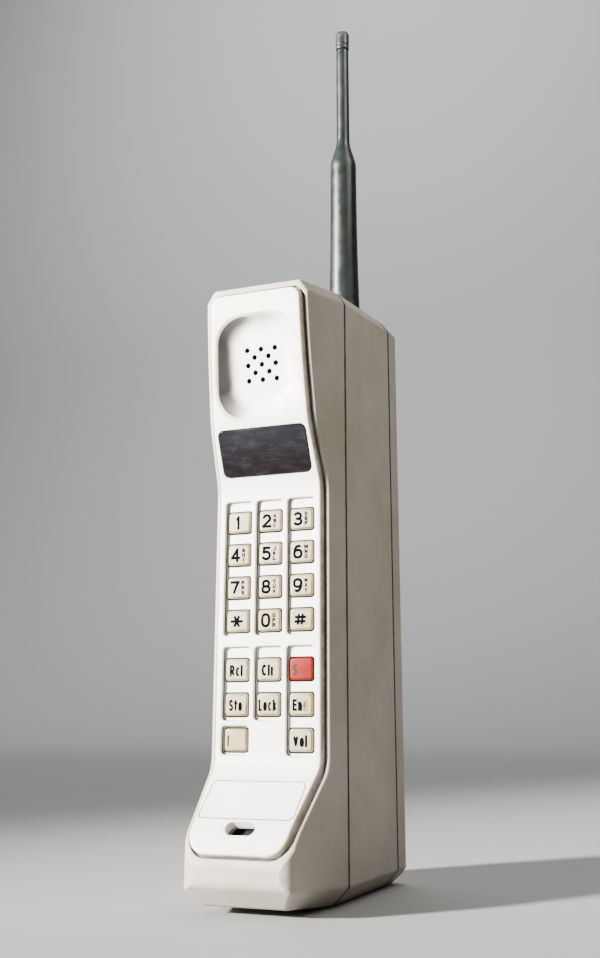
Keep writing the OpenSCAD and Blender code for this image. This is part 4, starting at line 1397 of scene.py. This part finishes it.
looks = [(WHITE, (bezel,)), (SHELL, (front_half, rear_half, pack_cover)), (GLASS, (window,)),
         (BLANK, (plate,)), (AERIAL, (sheath,)), (CAP, (tip,)), (DARK, (latch, tray, block)),
         (STEEL, (spring,))]
for tag, (button, ink) in keys.items():
    looks += [(RED if tag == "send" else KEY, (button,)),
              (INK_ON_RED if tag == "send" else INK, (ink,))]
for material, pieces in looks:
    for piece in pieces:
        piece.data.materials.append(material)
CAD_LOOKS = {
    MAT: ("keypad_mat", "earpiece_gasket", "microphone_boot", "rf_cable"),
    BOARD: ("keypad_board", "logic_board", "radio_board"),
    DARK: ("display_module",),
    STEEL: ("earpiece_capsule", "microphone_capsule", "radio_shield", "antenna_whip",
            "casing_screws", "board_screws"),
    BRASS: ("duplexer_filter", "antenna_socket", "antenna_stud", "battery_contacts",
            "contact_pins"),
    CELL: ("battery_cells",),
    RIBBON: ("ribbon_cable",),
}
for material, names in CAD_LOOKS.items():
    for node in names:
        for material_slot in NODES[node].material_slots:
            material_slot.material = material


# ---------------------------------------------------------------- camera, stage and light
def add_camera():
    """Camera at the spot the photo was taken from, its view shifted as the photo is framed."""
    azimuth, height, roll = (math.radians(a) for a in (22.710, 17.720, -0.451))
    ahead = Vector((-math.sin(azimuth) * math.cos(height), math.cos(azimuth) * math.cos(height),
                    math.sin(height)))
    level = ahead.cross(Vector((0, 0, 1))).normalized()
    upward = level.cross(ahead)
    right = level * math.cos(roll) + upward * math.sin(roll)
    up = upward * math.cos(roll) - level * math.sin(roll)
    data = bpy.data.cameras.new("camera")
    camera = link(bpy.data.objects.new("camera", data))
    eye = Matrix.Translation((0.18169, -0.39091, 0.06177))
    camera.matrix_world = eye @ Matrix((right, up, -ahead)).transposed().to_4x4()
    data.sensor_width = 36
    data.lens = 45.07365
    data.shift_x, data.shift_y = -0.0455637, -0.1697077
    data.clip_start, data.clip_end = 0.01, 20
    bpy.context.scene.camera = camera


def sweep_stage():
    """Floor that curves up into a backdrop, far behind the phone."""
    half_wide, near, bend, radius, top = 9, -9.0, 1.2, 0.9, 4.5
    line = [(near, 0.0), (bend, 0.0)]
    line += [(bend + radius * si, radius * (1 - co)) for si, co in quarter(12, 1)]
    line.append((bend + radius, top))
    verts = [(x, y, z) for y, z in line for x in (-half_wide, half_wide)]
    faces = [(2 * i, 2 * i + 1, 2 * i + 3, 2 * i + 2) for i in range(len(line) - 1)]
    me = bpy.data.meshes.new("floor")
    me.from_pydata(verts, [], faces)
    me.shade_smooth()
    paint = bpy.data.materials.new("floor_paint")
    paint.use_nodes = True
    inputs = paint.node_tree.nodes["Principled BSDF"].inputs
    inputs["Base Color"].default_value = (0.28, 0.28, 0.276, 1)
    inputs["Roughness"].default_value = 0.75
    me.materials.append(paint)
    link(bpy.data.objects.new("floor", me))


def light(name, kind, at, aim, power, colour, **shape):
    """Lamp at one place aimed at another, unseen by the camera."""
    data = bpy.data.lights.new(name, kind)
    data.energy = power
    data.color = colour
    for k, v in shape.items():
        setattr(data, k, v)
    o = link(bpy.data.objects.new(name, data))
    o.location = at
    o.rotation_mode = "QUATERNION"
    o.rotation_quaternion = (Vector(aim) - Vector(at)).to_track_quat("-Z", "Y")
    o.visible_camera = False


add_camera()
sweep_stage()
light("key", "SPOT", (-1.02, -1.06, 0.50), (0, 0, 0.235), 1050.0, (1, 0.99, 0.97),
      shadow_soft_size=0.08, spot_size=math.radians(31), spot_blend=1.0)
light("side", "AREA", (0.30, -0.05, 0.50), (0.04, 0.0, 0.24), 1.25, (1, 0.95, 0.88), size=0.2)
light("top", "AREA", (-0.5, 1.3, 2.7), (-0.5, 1.5, 0.0), 70.0, (1, 1, 1), size=2.4)
light("backdrop", "SPOT", (-0.8, 0.4, 1.6), (-0.8, 2.1, 1.3), 230.0, (0.97, 0.98, 1),
      shadow_soft_size=0.4, spot_size=math.radians(130), spot_blend=1.0)
world = bpy.data.worlds.new("world")
bpy.context.scene.world = world
world.use_nodes = True
background = world.node_tree.nodes["Background"].inputs
background["Color"].default_value = (0.9, 0.93, 1.0, 1)
background["Strength"].default_value = 0.07
